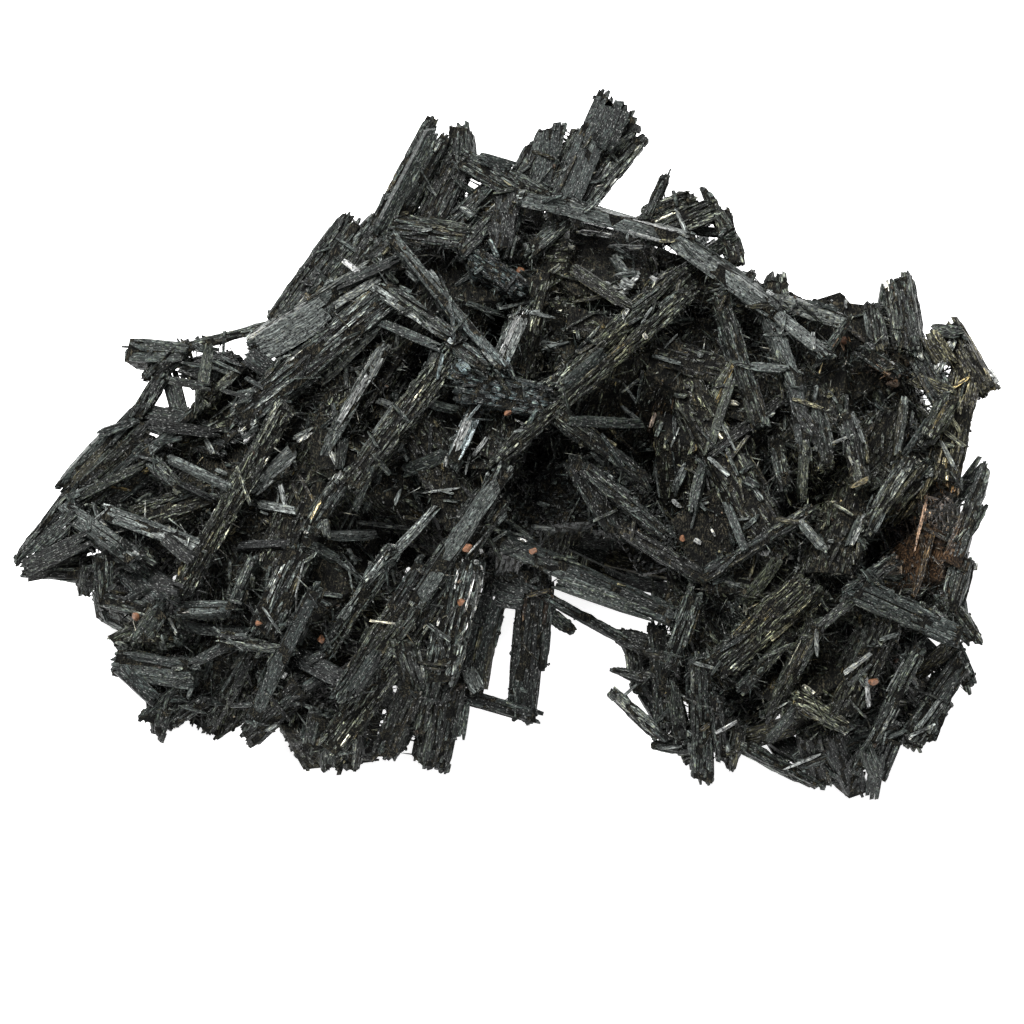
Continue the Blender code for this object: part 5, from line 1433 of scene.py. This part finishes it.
def ends_on(mass, across1, up1, across2, up2, lift):
    """The ends of a small crystal that lies on the mass, lifted from it by the given distance."""
    places = ((across1, up1), (across2, up2))
    depths = [mass.depth(*spot) for spot in places]
    found = [depth for depth in depths if depth is not None]
    nearest = max(found) if found else place((across1, up1, IN_A_GAP)).dot(TO_VIEWER)
    slack = SMALL_GAP * math.hypot(across2 - across1, up2 - up1)
    for (across, up), depth in zip(places, depths):
        depth = nearest if depth is None else max(depth, nearest - slack)
        yield Vector((across, 0, 0)) + UPWARD * up + TO_VIEWER * (depth + lift)


def lay_small_lath(blades, first, last, width, finish, rng):
    """One small crystal from first to last, as a few strips side by side."""
    look = look_of(finish)
    axis = (last - first).normalized()
    facing = (TO_VIEWER - axis * TO_VIEWER.dot(axis)).normalized()
    facing = Matrix.Rotation(rng.uniform(-LATH_SWING, LATH_SWING), 3, axis) @ facing
    side = axis.cross(facing)
    lanes = 1 if width < LATH_ONE_STRIP else 2 if width < LATH_TWO_STRIPS else 3
    tone = look.tone + rng.gauss(0, LATH_TONE)
    for lane in range(lanes):
        shift = side * (((lane + 0.5) / lanes - 0.5) * width)
        low = first + shift + axis * rng.uniform(-LATH_OUT, LATH_IN)
        high = last + shift + axis * rng.uniform(-LATH_IN, LATH_OUT)
        strip_tone = tone + rng.gauss(0, look.spread) * LATH_SPREAD
        colour = shade_of((low + high) / 2, look.tint, strip_tone, rng, look.stain)
        thick = min(width, LATH_THICK) * rng.uniform(*LATH_THINNING)
        raised = thick * LATH_RAISED
        box = box_of(low, high, width / lanes * LATH_COVER, facing, raised, thick * (1 - LATH_RAISED))
        blades.add(rng.choice(LATH_FORMS), *box, colour, look.wear)


class AEGIRINE_OT_small(bpy.types.Operator):
    """Lays the small crystals on the others: the ones with a place of their own, then the strewn ones"""

    bl_idname = "aegirine.small"
    bl_label = "Small crystals"

    def execute(self, context):
        mass = Mass()
        rng = random.Random(SMALL_SEED)
        blades = Blades()
        for *row, width, finish in SMALL_LATHS:
            ends = ends_on(mass, *row, width * LIE_SHARE + LIE_PROUD)
            lay_small_lath(blades, *ends, width, finish, rng)
        for *row, width, finish in UNDER_LATHS:
            lay_small_lath(blades, *ends_on(mass, *row, -UNDER), width, finish, rng)
        for *ends, width, finish in DEEP_LATHS:
            lay_small_lath(blades, *(at_height(*end) for end in ends), width, finish, rng)
        settings = context.scene.aegirine
        strewn = 0
        for point, normal in mass.samples(settings.small_count * TRIES, SMALL_SPOTS_SEED):
            if strewn >= settings.small_count:
                break
            start = point + normal * STREWN_OVER
            if normal.z < STREWN_DOWN or point.z < STREWN_LOWEST or not mass.seen(start):
                continue
            way = random_way(rng)
            way = (way - normal * way.dot(normal) * rng.uniform(*STREWN_FLAT)).normalized()
            length = rng.uniform(*STREWN_LENGTH)
            first = start - way * length * rng.uniform(*STREWN_HOLD)
            last = first + way * length
            if mass.buried(first) and mass.buried(last):
                continue
            if max(mass.clearance(first), mass.clearance(last)) > STREWN_CLEAR:
                continue
            if not (mass.backed(first) and mass.backed(last)):
                continue
            finish = rng.choice(STREWN_FINISHES)
            lay_small_lath(blades, first, last, rng.uniform(*STREWN_WIDTH), finish, rng)
            strewn += 1
        blades.make("small_crystals", crystal_finish(), SMALL_SEED)
        return {"FINISHED"}


# The felt: a spot is as open as the share of NEAR_WAYS that is clear for NEAR_REACH; few needles stand in the
# open, and they are shorter there, and lighter, which paints the hollows' shade as darker needles.
NEAR_REACH = 9.0
NEAR_WAYS = 8
OPEN_THINS = 1.3
OPEN_SHORTENS = 0.65
# The needles: where they may grow, their way, length, width and root, and their tones and tints.
NEEDLE_OVER = 0.25
NEEDLE_UNDERSIDE = (-0.5, 1.5)
NEEDLE_UPWARD = (-0.1, 0.7)
NEEDLE_LENGTHS = (0.12, 1.0)
NEEDLE_MOSTLY_SHORT = 1.6
NEEDLE_LEAST = 0.5
NEEDLE_WIDTH = (0.14, 0.40)
NEEDLE_ROOT = 0.3
NEEDLE_BACKED = 0.9
NEEDLE_TONE = 0.32
NEEDLE_PAINTED_LIGHT_OPEN = 0.30
NEEDLE_SPREAD = 0.17
# A few needles are near white: painted glints.
NEEDLE_DULL_SHARE = 0.97
NEEDLE_PAINTED_GLINT = (0.75, 0.95)
NEEDLE_TINTS = ("grey", "grey", "green", "green", "brown")
NEEDLE_STAIN = 0.12
# The crumbs, in the same way.
CRUMB_OVER = 0.2
CRUMB_DOWN = -0.2
CRUMB_SIZE = (0.22, 0.6)
CRUMB_WIDTH = 0.7
CRUMB_HALF_THICK = 0.3
CRUMB_TONE = 0.36
CRUMB_SPREAD = 0.12
CRUMB_TINTS = ("ochre", "brown", "grey", "green", "rust")
FELT_WEAR = 0.6


class AEGIRINE_OT_needles(bpy.types.Operator):
    """Grows the felt of fine needles over the mass, thickest in its hollows"""

    bl_idname = "aegirine.needles"
    bl_label = "Needles and crumbs"

    def execute(self, context):
        mass = Mass()
        settings = context.scene.aegirine
        longest = settings.needle_length / MM
        rng = random.Random(NEEDLE_SEED)
        pieces = {region: Blades() for region in REGIONS[:3]}
        for point, normal in mass.samples(settings.needle_count, NEEDLE_SPOTS_SEED):
            start = point + normal * NEEDLE_OVER
            underneath = normal.z < NEEDLE_UNDERSIDE[0] and point.z < NEEDLE_UNDERSIDE[1]
            if underneath or not mass.seen(start):
                continue
            ways = [(random_way(rng) + normal).normalized() for _ in range(NEAR_WAYS)]
            openness = mass.openness(start, ways, NEAR_REACH)
            if rng.random() < openness * OPEN_THINS:
                continue
            way = (random_way(rng) + normal * rng.uniform(*NEEDLE_UPWARD)).normalized()
            share = rng.uniform(*NEEDLE_LENGTHS) ** NEEDLE_MOSTLY_SHORT
            length = (longest * share + NEEDLE_LEAST) * (1.0 - OPEN_SHORTENS * openness)
            width = rng.uniform(*NEEDLE_WIDTH)
            if rng.random() < NEEDLE_DULL_SHARE:
                # Needles in open spots are painted lighter and those in hollows darker: painted shade.
                tone = rng.gauss(NEEDLE_TONE + NEEDLE_PAINTED_LIGHT_OPEN * openness, NEEDLE_SPREAD)
            else:
                tone = rng.uniform(*NEEDLE_PAINTED_GLINT)
            colour = shade_of(start, rng.choice(NEEDLE_TINTS), tone, rng, NEEDLE_STAIN)
            low = point - way * NEEDLE_ROOT
            if not mass.backed(low + way * length * NEEDLE_BACKED):
                continue
            box = box_of(low, low + way * length, width, random_way(rng), width * 0.5, width * 0.5)
            pieces[side_of(point)].add("needle", *box, colour, FELT_WEAR)
        for seed, (region, blades) in enumerate(pieces.items(), NEEDLE_MAP_SEED):
            blades.make(f"needles_{region}", crystal_finish(), seed)
        crumbs = Blades()
        for point, normal in mass.samples(settings.crumb_count, CRUMB_SPOTS_SEED):
            start = point + normal * CRUMB_OVER
            if normal.z < CRUMB_DOWN or not mass.seen(start):
                continue
            size = rng.uniform(*CRUMB_SIZE)
            tint = rng.choice(CRUMB_TINTS)
            colour = shade_of(start, tint, rng.gauss(CRUMB_TONE, CRUMB_SPREAD), rng)
            half = random_way(rng) * size / 2
            thick = size * CRUMB_HALF_THICK
            box = box_of(start - half, start + half, size * CRUMB_WIDTH, random_way(rng), thick, thick)
            crumbs.add("chip", *box, colour, FELT_WEAR)
        crumbs.make("crumbs", crystal_finish(), CRUMB_MAP_SEED)
        return {"FINISHED"}


# A shard is cut by planes at these shares of its ball's size, and grown again to fill its box.
SHARD_CUTS = 6
SHARD_CUT_AT = (0.2, 0.36)
SHARD_GROWTH = (1.1, 1.3)


def feldspar_shard(low, high, rng):
    """An angular shard in a box: a ball of few faces, cut by slanting planes."""
    middle, size = (low + high) / 2, high - low
    bpy.ops.object.select_all(action="DESELECT")
    bpy.ops.mesh.primitive_ico_sphere_add(subdivisions=3, radius=0.5, location=middle)
    shard = bpy.context.object
    bpy.ops.object.mode_set(mode="EDIT")
    bpy.ops.mesh.select_mode(type="VERT")
    for _ in range(SHARD_CUTS):
        way = random_way(rng)
        cut = middle + way * rng.uniform(*SHARD_CUT_AT)
        bpy.ops.mesh.select_all(action="SELECT")
        bpy.ops.mesh.bisect(plane_co=cut, plane_no=way, use_fill=True, clear_outer=True)
    bpy.ops.mesh.select_all(action="SELECT")
    bpy.ops.transform.resize(value=size * rng.uniform(*SHARD_GROWTH), center_override=middle)
    bpy.ops.mesh.quads_convert_to_tris()
    bpy.ops.mesh.normals_make_consistent(inside=False)
    bpy.ops.object.mode_set(mode="OBJECT")
    return shard


class AEGIRINE_OT_grains(bpy.types.Operator):
    """Puts an angular feldspar shard in place of each packed grain"""

    bl_idname = "aegirine.grains"
    bl_label = "Feldspar grains"

    def execute(self, context):
        rng = random.Random(GRAIN_SEED)
        nodes = sorted(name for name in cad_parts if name.startswith(GRAIN_PREFIX))
        shards = [feldspar_shard(*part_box(name), rng) for name in nodes]
        bpy.ops.object.select_all(action="DESELECT")
        for shard in shards:
            shard.select_set(True)
        context.view_layer.objects.active = shards[0]
        bpy.ops.object.join()
        bpy.ops.object.transform_apply(location=True, rotation=True, scale=True)
        piece = context.object
        piece.name = piece.data.name = "feldspar_grains"
        piece.data.materials.clear()
        piece.data.materials.append(material_named("potassium_feldspar", feldspar_material))
        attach(piece, "root")
        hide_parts(*nodes)
        return {"FINISHED"}


# The floor in metres, and the camera, far off with a long lens and a little above the front.
FLOOR_SIZE = 8.0
LENS = 500.0
SENSOR = 36.0
VIEW_DISTANCE = 1.7778
VIEW_TARGET = Vector((0.000555, -0.008195, 0.020))


def add_area_light(name, location, target, size, power, colour):
    """A round soft light of a size in metres and a power in watts, turned to its target."""
    bpy.ops.object.light_add(type="AREA", location=location)
    light = bpy.context.object
    light.name = name
    light.data.shape = "DISK"
    light.data.size = size
    light.data.energy = power
    light.data.color = linear(colour)
    light.rotation_euler = (Vector(target) - Vector(location)).to_track_quat("-Z", "Y").to_euler()


class AEGIRINE_OT_stage(bpy.types.Operator):
    """Sets the plain floor, the soft studio lights and the camera"""

    bl_idname = "aegirine.stage"
    bl_label = "Stage"

    def execute(self, context):
        bpy.ops.object.select_all(action="DESELECT")
        bpy.ops.mesh.primitive_plane_add(size=FLOOR_SIZE, location=(0.0, 0.0, 0.0))
        floor = context.object
        floor.name = "studio_floor"
        material, _, shader = new_material("white_paper", 0.9, 1.45)
        shader.inputs["Base Color"].default_value = (*context.scene.aegirine.floor_colour, 1.0)
        shader.inputs["Specular IOR Level"].default_value = 0.0
        shader.inputs["Emission Color"].default_value = (1.0, 1.0, 1.0, 1.0)
        shader.inputs["Emission Strength"].default_value = 0.85
        floor.data.materials.append(material)
        floor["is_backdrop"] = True
        add_area_light("overhead_softbox", (-0.35, 0.25, 1.1), (0, 0, 0), 1.0, 30.0, "#ffffff")
        add_area_light("front_fill", (0.5, -1.2, 0.9), (0, 0, 0.02), 0.8, 3.0, "#ffffff")
        world = context.scene.world or bpy.data.worlds.new("studio")
        context.scene.world = world
        world.use_nodes = True
        background = world.node_tree.nodes["Background"]
        background.inputs["Color"].default_value = (1.0, 1.0, 1.0, 1.0)
        background.inputs["Strength"].default_value = 0.4
        bpy.ops.object.camera_add(location=VIEW_TARGET + TO_VIEWER * VIEW_DISTANCE,
                                  rotation=(math.pi / 2 - VIEW_ELEVATION, 0.0, 0.0))
        camera = context.object
        camera.data.lens = LENS
        camera.data.sensor_width = SENSOR
        camera.data.clip_start = 0.05
        camera.data.clip_end = 20.0
        context.scene.camera = camera
        context.scene.view_settings.view_transform = "Standard"
        return {"FINISHED"}


class AEGIRINE_PT_panel(bpy.types.Panel):
    """Lists the settings and the pieces"""

    bl_idname = "AEGIRINE_PT_panel"
    bl_label = "Aegirine cluster"
    bl_space_type = "VIEW_3D"
    bl_region_type = "UI"
    bl_category = "Aegirine"

    def draw(self, context):
        for name in AegirineSettings.__annotations__:
            self.layout.prop(context.scene.aegirine, name)
        for operator in OPERATORS:
            self.layout.operator(operator.bl_idname)


OPERATORS = (
    AEGIRINE_OT_core,
    AEGIRINE_OT_splinters,
    AEGIRINE_OT_small,
    AEGIRINE_OT_needles,
    AEGIRINE_OT_grains,
    AEGIRINE_OT_stage,
)
CLASSES = (AegirineSettings, *OPERATORS, AEGIRINE_PT_panel)


def register():
    """Makes the settings, the operators and the panel known to Blender."""
    for made in CLASSES:
        bpy.utils.register_class(made)
    bpy.types.Scene.aegirine = bpy.props.PointerProperty(type=AegirineSettings)


def unregister():
    """Undoes register."""
    del bpy.types.Scene.aegirine
    for made in reversed(CLASSES):
        bpy.utils.unregister_class(made)


def main():
    """Makes every piece and the stage."""
    register()
    bpy.ops.aegirine.core()
    bpy.ops.aegirine.splinters()
    bpy.ops.aegirine.small()
    bpy.ops.aegirine.needles()
    bpy.ops.aegirine.grains()
    bpy.ops.aegirine.stage()
    boxes = {"cad": CAD_BOX, "visual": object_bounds()}
    plain = {name: [[float(value) for value in corner] for corner in box] for name, box in boxes.items()}


if __name__ == "__main__":
    main()
